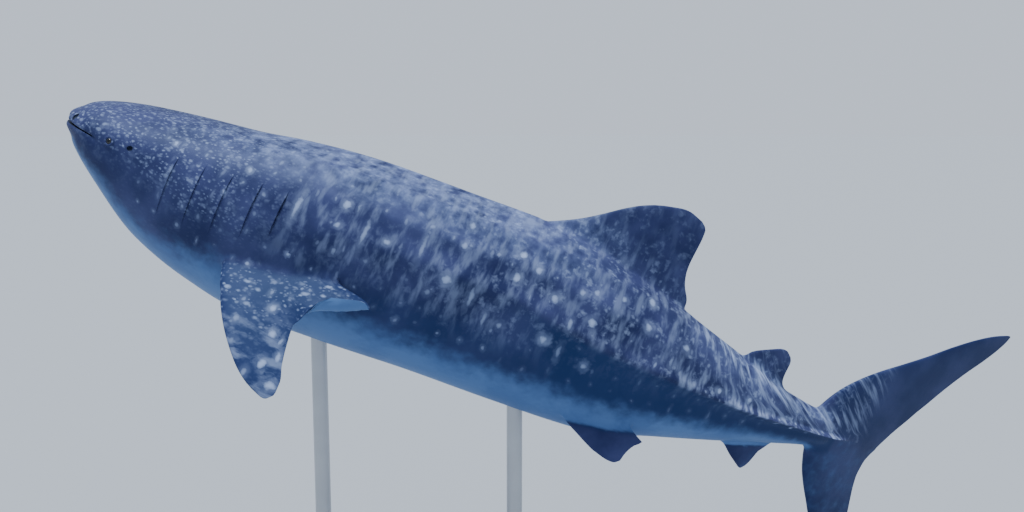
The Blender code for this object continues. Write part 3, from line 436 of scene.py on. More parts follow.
def makeFin(rows, pointFor, below="fin"):
    # below is the kind of the fin's second face
    rows = finRows(rows)
    longest = max(trailing - leading for _, leading, trailing, _ in rows)
    steps = max(10, math.ceil(longest / finForm["chordStep"]))
    count = steps + 1
    shares = (1 - np.cos(np.pi * np.arange(count) / steps)) / 2
    chords = rows[:, 1:2] + (rows[:, 2:3] - rows[:, 1:2]) * shares
    spans = np.repeat(rows[:, :1], count, 1)
    halves = foilHalf(shares[None], rows[:, 3:])
    sheets = [pointFor(chords, spans, halves * side) for side in (1, -1)]
    points = np.concatenate([sheet.reshape(-1, 3) for sheet in sheets])
    total = len(rows) * count
    faces = []
    for r in range(len(rows) - 1):
        start = r * count
        for a in range(start, start + steps):
            b = a + count
            faces.append((a, a + 1, b + 1, b))
            faces.append((total + a, total + b, total + b + 1, total + a + 1))
        for a in (start, start + steps):
            faces.append((a, a + count, total + a + count, total + a))
    for r in (0, len(rows) - 1):
        for a in range(r * count, r * count + steps):
            faces.append((a, total + a, total + a + 1, a + 1))
    made = meshFrom("fin", points, faces)
    markFaces(made, [kinds[below if min(face) >= total else "fin"] for face in faces])
    return outward(made)


def upright(chord, span, half):
    return place(chord, half, span)


def onTail(chord, span, half):
    return place(tailRoot, half, span, chord)


def paired(fin, sign):
    station, side, up = fin["root"]
    _, ahead, right, above = spineAt(station)
    start = place(station, sign * side, up)
    tilt = radians(fin["tilt"])
    back = math.cos(tilt) * ahead + math.sin(tilt) * above
    rise = math.cos(tilt) * above - math.sin(tilt) * ahead
    droop = np.radians(fin["droop"])

    def direction(angle):
        return np.cos(angle)[..., None] * sign * right - np.sin(angle)[..., None] * rise

    def angleAt(chord, span, reach):
        # how far the fin points down there, less the curl of its free rear lobe
        angle = droop[0] + (droop[1] - droop[0]) * np.clip(span / fin["span"], 0, 1)
        if "fold" in fin:
            fold = ease((span - tableAt(fin["fold"], chord)) / fin["foldWidth"] + .5)
            angle = angle - reach * (radians(fin["curl"]) * fold * ramp(chord, *fin["lobeChord"]))
        return angle

    def pointFor(chord, span, half):
        out = np.zeros(chord.shape + (3,))
        reach = flare = 0 * span
        if "fold" in fin:
            reach = 1 - ramp(span, *fin["reach"])
            flare = fin["flare"] * ramp(chord, *fin["flareChord"]) * (1 - ramp(span, *fin["flareSpan"]))
        for k in range(finForm["bendSteps"]):
            part = span * (k + .5) / finForm["bendSteps"]
            out += direction(angleAt(chord, part, reach)) * (span / finForm["bendSteps"])[..., None]
        normal = -direction(angleAt(chord, span, reach) + math.pi / 2)
        apart = back * chord[..., None] + out + sign * right * flare[..., None] + normal * half[..., None]
        return start + long * apart
    return pointFor


def boolean(target, others, operation):
    tools = bpy.data.collections.new("tools")
    for other in others:
        tools.objects.link(other)
    step = target.modifiers.new("tools", "BOOLEAN")
    step.operand_type, step.collection = "COLLECTION", tools
    step.operation, step.solver = operation, "MANIFOLD"
    selectOnly(target)
    bpy.ops.object.modifier_apply(modifier=step.name)
    for other in others:
        bpy.data.objects.remove(other)
    bpy.data.collections.remove(tools)


def softenJoins(made, joins, reach, turns):
    # rounds the crease where a fin or a lid grows out of the body
    data = made.data
    co = read(data.vertices, "co", 3)
    edges = read(data.edges, "vertices", 2, int)
    tree = kdtree.KDTree(len(joins))
    for n, v in enumerate(joins):
        tree.insert(co[v], n)
    tree.balance()
    near = np.array([tree.find(p)[2] for p in co])
    weight = (1 - ease(near / reach))[:, None] * finForm["softness"]
    degree = np.bincount(edges.ravel(), minlength=len(co))[:, None]
    for _ in range(turns):
        total = np.zeros_like(co)
        np.add.at(total, edges, co[edges[:, ::-1]])
        co += (total / np.maximum(degree, 1) - co) * weight
    data.vertices.foreach_set("co", co.ravel())
    data.update()


def joinVerts(made, *names):
    # vertices where faces of these kinds meet faces of any other kind
    inside, outside = set(), set()
    for found, within in zip(made.data.polygons, facesOf(made, *names)):
        (inside if within else outside).update(found.vertices)
    return sorted(inside & outside)


def growFins(skin):
    fins = [makeFin(rows, upright) for rows in (firstDorsal, secondDorsal, analFin)]
    fins += [makeFin(rows, onTail) for rows in (upperLobe, lowerLobe)]
    fins += [makeFin(fin["rows"], paired(fin, sign), "finUnder")
             for sign in (-1, 1) for fin in (pectoral, pelvic)]
    boolean(skin, fins, "UNION")
    joins = joinVerts(skin, "fin", "finUnder")
    softenJoins(skin, joins, *finForm["joins"])
    print("fins grown,", len(joins), "join points,", len(skin.data.polygons), "faces")


# eyes, spiracles, nostrils and barbels, in metres apart from their places
face = {
    "eyeRadius": .024, "eyePlace": (.065, radians(6)), "eyeSunk": .013, "socketGrowth": 1.02,
    "lidRadius": .028, "lidThick": .011, "lidFlatten": .8, "lidSteps": (40, 14), "lidJoins": (.012, 4),
    "probe": .004,
    # station and angle, or angle and row of the front, then half sizes
    "spiracle": (.0845, radians(9), (.02, .015, .015)),
    "nostril": (radians(33), .15, (.02, .03, .016)),
    "barbel": (radians(38), .065, (.011, .021, .009)),
    "ballColour": (.02, .023, .028), "irisColour": (.045, .044, .04), "pupilColour": (.004, .004, .005),
}


def skinFrame(pointFor, first, second, sign):
    # a place on the surface, with two directions along it and one out of it
    def at(a, b):
        back, side, up = pointFor(a, b)
        return Vector(place(back, sign * side, up))
    middle = at(first, second)
    one, other = at(first + face["probe"], second) - middle, at(first, second + face["probe"]) - middle
    normal = one.cross(other).normalized()
    if normal.dot(middle - Vector(place(mouth["blendEnd"], 0, 0))) < 0:
        normal = -normal
    level = normal.cross(Vector((0, 0, 1))).normalized()
    return middle, (level, normal.cross(level), normal)


def selectOnly(*wanted):
    bpy.ops.object.select_all(action="DESELECT")
    for made in wanted:
        made.select_set(True)
    bpy.context.view_layer.objects.active = wanted[0]


def settle(middle, axes, size):
    # lays the ball or ring that was just made on its place
    made = bpy.context.object
    for vert in made.data.vertices:
        x, y, z = (value * half for value, half in zip(vert.co, size))
        vert.co = middle + axes[0] * x + axes[1] * y + axes[2] * z
    return outward(made)


def rounded(middle, axes, size, segments=28):
    bpy.ops.mesh.primitive_uv_sphere_add(segments=segments, ring_count=segments // 2, radius=1)
    return settle(middle, axes, size)


def eyeFrame(sign):
    middle, axes = skinFrame(sidePoint, *face["eyePlace"], sign)
    return middle, middle - axes[2] * face["eyeSunk"], axes


def shapeFace(skin):
    grown, cut = [], []
    for sign in (-1, 1):
        middle, centre, axes = eyeFrame(sign)
        bpy.ops.mesh.primitive_torus_add(
            major_radius=face["lidRadius"], minor_radius=face["lidThick"],
            major_segments=face["lidSteps"][0], minor_segments=face["lidSteps"][1])
        grown.append(settle(middle, axes, (1, 1, face["lidFlatten"])))
        cut.append(rounded(centre, axes, (face["eyeRadius"] * face["socketGrowth"],) * 3))
        for pieces, name, pointFor in ((cut, "spiracle", sidePoint), (cut, "nostril", frontPoint),
                                       (grown, "barbel", frontPoint)):
            first, second, size = face[name]
            pieces.append(rounded(*skinFrame(pointFor, first, second, sign), size))
    for pieces, kind in ((grown, "lid"), (cut, "cut")):
        for made in pieces:
            markFaces(made, [kinds[kind]] * len(made.data.polygons))
    boolean(skin, grown, "UNION")
    softenJoins(skin, joinVerts(skin, "lid"), *face["lidJoins"])
    boolean(skin, cut, "DIFFERENCE")
    print("face shaped,", len(skin.data.polygons), "faces")


skin = makeBody()
print("body lofted,", len(skin.data.polygons), "faces")
growFins(skin)
shapeFace(skin)


def unbend(points):
    # station, side and up of world points, all in body lengths
    points = points - offset
    station = np.concatenate([spine[0][((part[:, None] - spine[1]) ** 2).sum(2).argmin(1)]
                              for part in np.array_split(points, 60)])
    for _ in range(3):
        point, ahead, right, above = spineAt(station)
        station = station + ((points - point) * ahead).sum(1) / long
    point, ahead, right, above = spineAt(station)
    apart = points - point
    return station, (apart * right).sum(1) / long, (apart * above).sum(1) / long


def angleOn(station, side, up):
    # angle round the section that passes through a place
    height, width, power = outline(station, up > 0)
    rise = (np.abs(up) / height) ** (power / 2)
    return np.arctan2(rise, (np.abs(side) / width) ** (power / 2)) * np.sign(up)


# the coat; its pale marks were read off the left flank in the photo
coat = {
    # station, lowest and highest angle, half width, glow
    "bars": (
        (.2325, 7, 31, .026, .8), (.2485, 2, 37, .024, .8), (.291, 6, 31, .022, .6),
        (.339, 13, 36, .022, .5), (.3925, -1, 16, .024, .6), (.4095, -8, 5, .02, .5),
        (.479, 9, 20, .022, .6), (.48, -11, 2, .022, .45), (.516, 42, 50, .03, .7),
        (.704, 0, 10, .016, .7), (.727, 2, 12, .016, .7), (.75, 1, 10, .016, .7),
        (.56, 8, 17, .016, .55), (.5736, 15, 26, .018, .5), (.5845, 10, 19, .018, .5)),
    # station, angle, radius, glow
    "spots": (
        (.2683, 31, .038, 1), (.2686, 18, .03, .8), (.2737, 2.6, .026, .5), (.3106, 19, .032, .8),
        (.3567, 1, .03, .4), (.3681, 12, .046, 1), (.3712, 34, .034, .8), (.3706, 49, .034, .8),
        (.4207, 43, .04, 1), (.4228, 27.5, .04, 1), (.4381, 36, .04, .8), (.4601, 25, .042, .9),
        (.4639, -.3, .04, .9), (.4244, -2, .03, .5), (.4799, 35, .034, .7), (.4921, 40, .036, .7),
        (.4961, 21, .044, .9), (.5437, 36, .042, .8), (.584, 37, .04, .7), (.5417, 57, .04, .9),
        (.6287, 14, .032, .9), (.664, 17, .028, .9), (.5041, -8, .034, .6), (.183, 31, .026, .8),
        (.174, 9.5, .022, .7), (.116, 32, .022, .9), (.34, 38, .03, .5), (.401, 36, .026, .5)),
    # pale blotches of the pectoral: station, side, up, half length, half width, glow
    "blotches": (
        (.252, .1088, -.0543, .028, .026, 1), (.2618, .1227, -.0703, .03, .032, 1),
        (.2663, .1391, -.09, .042, .026, 1), (.2747, .1333, -.083, .045, .02, .9),
        (.2796, .1476, -.1015, .03, .042, 1), (.2314, .1207, -.0711, .034, .024, .6),
        (.2572, .1454, -.1008, .032, .024, .6), (.2129, .0832, -.0357, .018, .022, 1),
        (.2413, .0844, -.0136, .016, .018, 1), (.2371, .1322, -.0856, .026, .024, .5),
        (.27, .124, -.074, .034, .014, .7), (.29, .148, -.1, .04, .016, .6),
        (.244, .101, -.044, .024, .016, .5), (.228, .108, -.058, .02, .018, .5)),
    "seed": 11, "shake": .005,
    "columns": (.105, .7, .0195), "columnAngles": (-20, -7, 6, 20, 34, 48, 62, 76, 89),
    "columnGlow": (.1, .45), "columnRadius": (.012, .022), "clear": .75,
    "belly": {0: -20, .05: -26, .124: -37, .164: -33, .186: -28, .26: -30, .35: -32.5, .45: -32.5,
              .56: -34, .66: -38, .74: -50, .8: -85, .83: -90},
    "dark": (.021, .027, .091), "lighter": (.06, .07, .182), "pale": (.51, .63, .92),
    # painted shade and light: low is the shade colour, the colour after it paints light on the sunlit
    # back, the belly colours are painted darker and bluer than a pale belly, and the near black paints
    # shade in slits, mouth and hollows
    "low": (.0125, .032, .112), "paintedLightColour": (.18, .23, .43), "bellyColour": (.105, .205, .43),
    "bellyShade": (.08, .165, .37), "recessShadeColour": (.008, .011, .022), "roughness": .5,
    # scale, strength, least size and where
    "dots": ((17, .6, -.03, "dots"), (27, .74, .02, "dots"), (41, .62, .03, "dots"),
             (15, .95, -.04, "finDots"), (24, .8, -.01, "finDots"), (36, .45, 0, "finDots")),
    "sheen": .2, "sheenColour": (.45, .68, 1), "markSize": .72, "blotchSize": .85, "markEnd": 12,
}


def flankMarks():
    # every mark: its place, the two directions across it over its half sizes, its reach and glow
    chance = random.Random(coat["seed"])
    rows = []
    backward = np.array([1, 0, 0])

    def add(centre, around, halfAlong, halfAround, glow):
        reach = max(halfAlong, halfAround)
        if not any(norm(centre - row[0]) < coat["clear"] * (reach + row[3]) for row in rows):
            rows.append((centre, backward / halfAlong, around / halfAround, reach, glow))

    def onFlank(sign, station, angle, halfAlong, halfAround, glow):
        here, beyond = (sidePoint(station, radians(angle) + step) for step in (0, .01))
        around = (beyond - here) / norm(beyond - here)
        mirror = np.array([1, sign, 1])
        size = coat["markSize"]
        add(here * mirror * long, around * mirror, halfAlong * size, halfAround * size, glow)

    for sign in (-1, 1):
        shake = coat["shake"] * (sign + 1) / 2      # the unseen flank's marks are moved a little
        for station, low, high, half, glow in coat["bars"]:
            moved = station + shake * chance.uniform(-1, 1)
            middle = (low + high) / 2 + shake * chance.uniform(-800, 800)
            ends = [sidePoint(station, radians(angle)) for angle in (low, high)]
            onFlank(sign, moved, middle, half, norm(ends[1] - ends[0]) * long / 2, glow)
        for station, angle, radius, glow in coat["spots"]:
            moved = station + shake * chance.uniform(-1, 1)
            onFlank(sign, moved, angle + shake * chance.uniform(-800, 800), radius * .9, radius, glow)
        for station, side, up, halfLong, halfWide, glow in coat["blotches"]:
            centre = np.array([station, -sign * side, up]) * long
            out = side > .085       # on the fin, else beside its root
            across = np.array([0, -sign * .7, -.7]) if out else np.array([0, 0, -1])
            size = coat["blotchSize"]
            add(centre, across, halfWide * size, halfLong * size, glow * size)
        first, last, step = coat["columns"]
        for n in range(round((last - first) / step)):
            for angle in coat["columnAngles"]:
                station = first + step * n + chance.uniform(-.003, .003)
                turned = angle + chance.uniform(-3, 3)
                radius = chance.uniform(*coat["columnRadius"])
                stretch = 2.4 if n % 2 and chance.random() < .6 else 1.1
                glow = chance.uniform(*coat["columnGlow"])
                # painted shade: marks under the keel are dimmed, as if shaded by the keel
                if station > .42 and turned < tableAt(ridges["keelAngle"], station):
                    glow *= .4
                if turned < 88 or sign > 0:
                    onFlank(sign, station, min(turned, 89), radius * .9, radius * stretch, glow)
    return rows


def setAttribute(data, name, values, domain="POINT"):
    vector = np.ndim(values) == 2
    made = data.attributes.new(name, "FLOAT_VECTOR" if vector else "FLOAT", domain)
    made.data.foreach_set("vector" if vector else "value", np.asarray(values, float).ravel())


def layCoat(skin):
    data = skin.data
    station, side, up = unbend(read(data.vertices, "co", 3))
    angle = angleOn(station, side, up)
    laid = np.stack([station, side, up], 1) * long
    corners = read(data.loops, "vertex_index", kind=int)
    counts = read(data.polygons, "loop_total", kind=int)

    def share(*names):
        # how far the faces round each vertex are of these kinds
        hits = np.bincount(corners, np.repeat(facesOf(skin, *names), counts), len(laid))
        return hits / np.maximum(np.bincount(corners, minlength=len(laid)), 1)

    def past(low, high):
        return ramp(station, low, high)

    # how far a place stands out of the body, 0 on it and 1 on the clear fin
    height, width, _ = outline(station, up > 0)
    beyond = np.hypot(side / width, up / height) - 1.02
    clear = ease(beyond * np.minimum(width, height) / .006)
    clear = np.where(station > body["end"] - body["finEnd"], 1, clear)
    under = share("finUnder")
    onFin = share("fin", "finUnder") * clear
    pectoralOut = ((station > .18) & (station < .36)) * onFin * (np.abs(side) > .06)

    onBody = np.clip((np.radians(tableAt(coat["belly"], station)) - angle) * 2.3, -1, 1)
    belly = onBody + (-1 - onBody) * onFin
    belly = np.where(under > 0, belly + (1 - belly) * under * ease(beyond * 4), belly)
    belly = np.where((station > .7) & (up < 0) & (onFin > 0), np.maximum(belly, -.35), belly)

    lowFace = .08 + .22 * past(.05, .17)       # the dots fade below the head's lit upper side, as painted shade; the jaw and throat stay plain
    dots = (1 - past(.13, .26)) * (.06 + .94 * ease((angle + lowFace) / .3))

    # the back's pale marks climb the foot of the first dorsal fin, higher in front
    dorsal = (station > .4) & (station < .6) & (up > 0)
    climb = np.maximum(.02, .06 - .28 * (station - .44))
    raised = onFin * np.where(dorsal, ease((up - tableAt(profile["top"], station)) / climb), 1)
    # lit is 0 on the underside and 1 from the flank's middle up; the streaks and mottling follow it and
    # fade where shade falls, as painted shade
    lit = ramp(angle, -.45, .15)
    aboveKeel = angle - ridgeAngle("keel", station)
    # painted shade: under the keel the rear flank is darkened and its pale marks faded, as if shaded by
    # the keel
    underKeelShade = ease((.01 - aboveKeel) / .08) * past(.4, .5) * (1 - onFin)
    upper = 1 - .85 * underKeelShade

    # strongest by the keel, on the back and at the root of the tail fin
    banded = .35 + .65 * np.maximum(1 - ease(aboveKeel / .35), ramp(angle, .7, 1.2))
    streaks = past(.2, .25) * (.45 + .95 * past(.55, .65) * banded) * lit * upper
    streaks *= 1 - raised * np.where(station > .76, 1, .8)
    streaks += .6 * past(.77, .79) * (1 - past(.82, .85)) * (up > 0) * onFin
    lean = 1.3 * past(.6, .7) * ramp(aboveKeel, .2, .6)      # they lean back toward the tail
    leaning = np.stack([(laid[:, 0] + lean * laid[:, 2]) * 17, laid[:, 1] * 5, laid[:, 2] * 6], 1)

    # coat mottling that fades where shade falls and is raised along the sunlit top of the back: pattern
    # and painted light together
    mottled = lit * (.35 + .65 * past(.3, .5)) * (1 - past(.8, .85)) * upper
    mottled += .5 * past(.1, .2) * (1 - past(.4, .55)) * ramp(angle, .6, 1.1)
    mottled += .3 * pectoralOut + .5 * past(.6, .7) * (1 - underKeelShade) * (1 - onFin) * lit
    mottled *= 1 - raised * np.where(dorsal, .6, .3)
    # painted light: the sunlit top of the back, and toward the tail the back and the flank above the
    # keel, lightened toward a pale blue
    paintedLight = .9 * past(.08, .2) * (1 - past(.4, .54)) * ramp(angle, .45, 1.05)
    rearPaintedLight = .25 * ease(aboveKeel / .25) + .55 * ramp(angle, .5, 1.2)
    paintedLight += past(.54, .7) * (1 - past(.8, .84)) * rearPaintedLight
    # painted shade: the lower flank from the gills back is darkened
    lowFlankShade = .7 * past(.2, .35) * ease((.05 - angle) / .35) * (1 - onFin)
    # painted shade: the gill slits, the inside of the mouth and the cut hollows are darkened
    groove = gillShape(station, angle)[1] * (onFin < .5) * (np.abs(side) > .03)
    for name, values in {
            "place": laid, "streakAt": leaning, "belly": np.clip(belly, -1, 1),
            "dots": np.where(station > .4, 0, dots * (1 - pectoralOut)),
            "finDots": pectoralOut * (1 - .9 * ramp(np.abs(side), .108, .138)),
            "brushed": .6 * pectoralOut * ramp(np.abs(side), .1, .13),
            "streaks": streaks, "mottled": mottled, "paintedLight": paintedLight * (1 - raised),
            # painted shade: under the keel, the lower flank, the pectoral fins and the tail lobes
            "shade": np.maximum(underKeelShade, lowFlankShade) + .8 * pectoralOut + .4 * onFin * (station > .78),
            "groove": np.maximum(groove, share("mouth", "cut"))}.items():
        setAttribute(data, name, values)

    # each face keeps the mark that is nearest in the mark's own measure
    marks = flankMarks()
    middles = np.add.reduceat(laid[corners], np.cumsum(counts) - counts) / counts[:, None]
    best, chosen = np.full(len(middles), np.inf), np.zeros(len(middles), int)
    for n, (centre, along, around, reach, _) in enumerate(marks):
        apart = middles - centre
        through = np.cross(along, around)
        q = (apart @ along) ** 2 + (apart @ around) ** 2
        q += (apart @ through / norm(through) / reach) ** 2
        closer = q < best
        best[closer], chosen[closer] = q[closer], n
    for k, name in enumerate(("markAt", "markAlong", "markAround")):
        setAttribute(data, name, np.array([mark[k] for mark in marks])[chosen], "FACE")
    glow = np.array([mark[4] for mark in marks])[chosen] * ~facesOf(skin, "finUnder")
    setAttribute(data, "markGlow", glow * (best < coat["markEnd"]), "FACE")
    print("coat laid,", len(marks), "marks")


class Field:
    # a socket of a material that can be added, multiplied and so on
    def __init__(self, shade, socket):
        self.shade, self.socket = shade, socket

    def combine(self, kind, other):
        single = self.socket.type == "VALUE"
        made = self.shade.node("Math" if single else "VectorMath", {"operation": kind}, i0=self, i1=other)
        return Field(self.shade, made.outputs["Value" if single or kind == "DOT_PRODUCT" else "Vector"])

    def step(self, low, high):
        made = self.shade.node("MapRange", {"interpolation_type": "SMOOTHSTEP"}, i0=self, i1=low, i2=high)
        return Field(self.shade, made.outputs[0])


for method, kind in (("__add__", "ADD"), ("__sub__", "SUBTRACT"), ("__mul__", "MULTIPLY"),
                     ("__pow__", "POWER"), ("dot", "DOT_PRODUCT"), ("most", "MAXIMUM")):
    setattr(Field, method, lambda self, other, kind=kind: self.combine(kind, other))


class Shade:
    # short helper that adds and links shader nodes
    def __init__(self, name, roughness, metallic=0):
        self.made = bpy.data.materials.new(name)
        self.made.use_nodes = True
        self.nodes, self.links = self.made.node_tree.nodes, self.made.node_tree.links
        self.shader = self.nodes["Principled BSDF"]
        self.shader.inputs["Roughness"].default_value = roughness
        self.shader.inputs["Metallic"].default_value = metallic

    def node(self, kind, values=None, **inputs):
        made = self.nodes.new("ShaderNode" + kind)
        for name, value in (values or {}).items():
            setattr(made, name, value)
        for name, value in inputs.items():
            self.feed(made.inputs[int(name[1:]) if name[0] == "i" else name], value)
        return made

    def feed(self, socket, value):
        if isinstance(value, Field):
            self.links.new(value.socket, socket)
        elif socket.type == "RGBA":
            socket.default_value = (*value, 1)
        else:
            socket.default_value = value

    def attribute(self, name, output="Fac"):
        return Field(self, self.node("Attribute", {"attribute_name": name}).outputs[output])

    def noise(self, where, scale, detail, output="Fac"):
        made = self.node("TexNoise", Vector=where, Scale=scale, Detail=detail)
        return Field(self, made.outputs[output])

    def mix(self, share, first, second):
        made = self.node("Mix", {"data_type": "RGBA"}, i0=share, i6=first, i7=second)
        return Field(self, made.outputs[2])

    def finish(self, colour, **relief):
        self.feed(self.shader.inputs["Base Color"], colour)
        if relief:
            made = self.node("Bump", **relief)
            self.links.new(made.outputs["Normal"], self.shader.inputs["Normal"])
        return self.made


def skinMaterial():
    s = Shade("sharkCoat", coat["roughness"])
    s.shader.inputs["Specular IOR Level"].default_value = coat["sheen"]
    s.feed(s.shader.inputs["Specular Tint"], coat["sheenColour"])
    laid = s.attribute("place", "Vector")
    cloudy, rough, grain = s.noise(laid, 2.6, 6), s.noise(laid, 12, 5), s.noise(laid, 30, 3)
    colour = s.mix(cloudy.step(.34, .7), coat["dark"], coat["lighter"])
    # painted light: where lit from above, the coat is lightened in patches toward a pale blue
    colour = s.mix(s.attribute("paintedLight") * rough.step(.25, .7), colour, coat["paintedLightColour"])
    # fine pale mottling of the back and the rear flank: coat pattern, kept to the lit side and raised
    # along the top of the back as painted light
    mottle = (rough * .55 + grain * .45).step(.5, .7) * s.attribute("mottled")
    wavy = laid + (s.noise(laid, 22, 4, "Color") - (.5, .5, .5)) * (.03, .03, .03)
    # the listed marks, uneven and soft at their rims
    apart = wavy - s.attribute("markAt", "Vector")
    along, around = (apart.dot(s.attribute(name, "Vector")) for name in ("markAlong", "markAround"))
    q = (along * along + around * around) * (grain * 2.4 - .1)
    halo = q.step(7, .3) * (rough - .28)
    pale = (q.step(2, -.3) ** 1.6).most(halo) * s.attribute("markGlow")
    # small dots of the head and of the pectoral's root, each with its own strength
    for scale, amount, least, where in coat["dots"]:
        cells = s.node("TexVoronoi", Vector=wavy * (.75, 1.1, 1.1), Scale=scale, Randomness=.95)
        found = (Field(s, cells.outputs["Distance"]) - (rough * .42 + least)).step(.15, -.12)
        found = found * (Field(s, cells.outputs["Color"]).dot((1, 0, 0)) * .75 + .25)
        pale = pale.most(found * amount * s.attribute(where) * .7)
    streaks = s.noise(s.attribute("streakAt", "Vector"), 1, 4).step(.46, .71) * s.attribute("streaks")
    brushed = s.noise(wavy * (6, 17, 17), 1, 4).step(.46, .72) * s.attribute("brushed")
    pale = pale.most((streaks.most(brushed) * .62).most(mottle * .42))
    # painted shade: the coat is darkened toward the shade colour where the shade attribute says
    colour = s.mix(s.attribute("shade") * .9, colour, coat["low"])
    colour = s.mix(pale * .92, colour, coat["pale"])
    # the pale belly, painted darker and bluer than it is, as painted shade, with a darker tone mixed in
    # by noise
    below = s.mix((cloudy + grain * .2).step(.48, .7), coat["bellyColour"], coat["bellyShade"])
    colour = s.mix((s.attribute("belly") + (rough - .5) * .9).step(-.45, .5), colour, below)
    # painted shade: near black in the gill slits, inside the mouth and in the hollows of the eye sockets,
    # spiracles and nostrils
    colour = s.mix(s.attribute("groove") * .9, colour, coat["recessShadeColour"])
    relief = s.noise(laid, 260, 2) + grain * 1.8
    return s.finish(colour, Height=relief, Strength=.24, Distance=.0025)


layCoat(skin)
skin.data.materials.clear()     # the cuts leave an empty slot
skin.data.materials.append(skinMaterial())
selectOnly(skin)
bpy.ops.object.shade_smooth_by_angle(angle=radians(50))
fleshNodes = ("head", "gill_region", "trunk_front", "trunk_middle", "trunk_rear", "tail_stock",
              "tail_peduncle", "first_dorsal_fin", "second_dorsal_fin", "anal_fin", "caudal_upper_lobe",
              "caudal_lower_lobe", "pectoral_fin_left", "pectoral_fin_right", "pelvic_fin_left",
              "pelvic_fin_right", "lower_jaw")
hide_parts(*fleshNodes)
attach(skin, "root")
print("skin in place")


def eyeLook():
    s = Shade("eyeLook", .06)
    look = s.attribute("look")
    iris = s.mix(look.step(.74, .8), face["ballColour"], face["irisColour"])
    return s.finish(s.mix(look.step(.885, .905), iris, face["pupilColour"]))


eyeMaterial = eyeLook()
for name, sign in (("eyeLeft", -1), ("eyeRight", 1)):
    _, centre, axes = eyeFrame(sign)
    made = rounded(centre, axes, (face["eyeRadius"],) * 3, 48)
    made.name = name
    look = [(vert.co - centre).normalized().dot(axes[2]) for vert in made.data.vertices]
    setAttribute(made.data, "look", look)
    made.data.materials.append(eyeMaterial)
    bpy.ops.object.shade_smooth()
    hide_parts("eye_left" if sign < 0 else "eye_right")
    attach(made, "root")
print("eyes in place")

stand = {
    "rods": {"stand_rod_front": .235, "stand_rod_rear": .435}, "rodRadius": .055,
    "flangeTop": .0853, "boltCircle": .128, "boltCount": 6, "boltRadius": .016, "boltHeight": .012,
    "washerRadius": .026, "washerHeight": .004, "weldRadius": .007, "overlap": .0004,
    "colour": (.6, .61, .62), "boltColour": (.42, .43, .44),
}


def paint(name, colour, roughness, metallic):
    s = Shade(name, roughness, metallic)
    where = Field(s, s.node("TexCoord").outputs["Object"])
    colour = s.mix(s.noise(where, 5, 5).step(.3, .75), tuple(c * .93 for c in colour), colour)
    return s.finish(colour, Height=s.noise(where, 420, 2), Strength=.08, Distance=.0006)


def joined(pieces, name, finish):
    selectOnly(*pieces)
    bpy.ops.object.join()
    bpy.ops.object.transform_apply()
    made = bpy.context.object
    made.name = name
    made.data.materials.append(finish)
    bpy.ops.object.shade_smooth_by_angle(angle=radians(35))
    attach(made, "root")


standPaint = paint("standPaint", stand["colour"], .38, .25)
boltMetal = paint("boltMetal", stand["boltColour"], .32, .9)
bolts, welds = [], []
for station in stand["rods"].values():
    x, y, _ = place(station, 0, 0)
    for k in range(stand["boltCount"]):
        turn = 2 * math.pi * k / stand["boltCount"]
        spot = (x + stand["boltCircle"] * math.cos(turn), y + stand["boltCircle"] * math.sin(turn))
        low = stand["flangeTop"] - .001
        for radius, height, sides in ((stand["washerRadius"], stand["washerHeight"], 32),
                                      (stand["boltRadius"], stand["boltHeight"], 6)):
            bpy.ops.mesh.primitive_cylinder_add(vertices=sides, radius=radius, depth=height,
                                                location=(*spot, low + height / 2), rotation=(0, 0, turn))
            bolts.append(bpy.context.object)
            low += height - stand["overlap"]
    bpy.ops.mesh.primitive_torus_add(
        major_radius=stand["rodRadius"] + .001, minor_radius=stand["weldRadius"],
        major_segments=64, minor_segments=14, location=(x, y, stand["flangeTop"]))
    welds.append(bpy.context.object)
joined(bolts, "standBolts", boltMetal)
joined(welds, "standWelds", standPaint)
for name in ("stand_base", *stand["rods"]):
    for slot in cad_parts[name].material_slots:
        slot.material = standPaint
print("stand dressed")

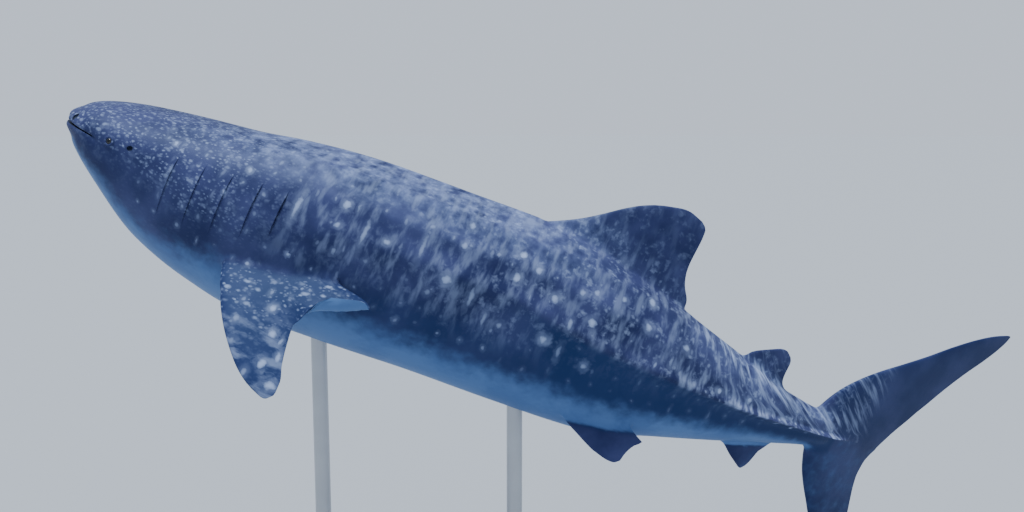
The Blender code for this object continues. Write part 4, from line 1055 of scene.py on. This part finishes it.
view = {
    "from": (.0421, -.8672, .1648), "yaw": -.0352, "pitch": -.1353, "focal": 952.46 / 1024 * 36,
    "floorRadius": 400, "floorColour": (.5, .52, .54), "world": (.62, .75, .98), "worldStrength": .6,
    "backdrop": (.69, .775, .91), "backdropStrength": 1,
    "sunStrength": 3.6, "sunWidth": 24, "sunColour": (.9, .95, 1), "sunAim": (.12, .1, -1),
}

bpy.ops.mesh.primitive_cylinder_add(
    vertices=128, radius=view["floorRadius"], depth=.02, location=(0, 0, -.01))
floor = bpy.context.object
floor.name = "studioFloor"
floor.data.materials.append(Shade("floorLook", .8).finish(view["floorColour"]))

world = bpy.data.worlds.new("studio")
bpy.context.scene.world = world
world.use_nodes = True
tree = world.node_tree
# the light's sky and the backdrop that the camera sees
glowing, seen = tree.nodes["Background"], tree.nodes.new("ShaderNodeBackground")
for made, name in ((glowing, "world"), (seen, "backdrop")):
    made.inputs["Color"].default_value = (*view[name], 1)
    made.inputs["Strength"].default_value = view[name + "Strength"]
which, both = tree.nodes.new("ShaderNodeLightPath"), tree.nodes.new("ShaderNodeMixShader")
for given, taken in ((which.outputs["Is Camera Ray"], both.inputs[0]),
                     (glowing.outputs[0], both.inputs[1]), (seen.outputs[0], both.inputs[2]),
                     (both.outputs[0], tree.nodes["World Output"].inputs["Surface"])):
    tree.links.new(given, taken)

bpy.ops.object.light_add(type="SUN", location=(0, -4, 12))
sun = bpy.context.object
sun.name = "softSun"
sun.data.energy = view["sunStrength"]
sun.data.angle = radians(view["sunWidth"])
sun.data.color = view["sunColour"]
sun.rotation_euler = Vector(view["sunAim"]).to_track_quat("-Z", "Y").to_euler()

yaw, tip = view["yaw"], view["pitch"]
ahead = Vector((math.sin(yaw) * math.cos(tip), math.cos(yaw) * math.cos(tip), math.sin(tip)))
right = Vector((math.cos(yaw), -math.sin(yaw), 0))
above = right.cross(ahead)
turned = Matrix((right, above, -ahead)).transposed().to_4x4()
bpy.ops.object.camera_add()
camera = bpy.context.object
camera.matrix_world = Matrix.Translation(Vector(view["from"]) * long + Vector(offset)) @ turned
camera.data.sensor_width = 36
camera.data.lens = view["focal"]
camera.data.clip_end = 1000
bpy.context.scene.camera = camera
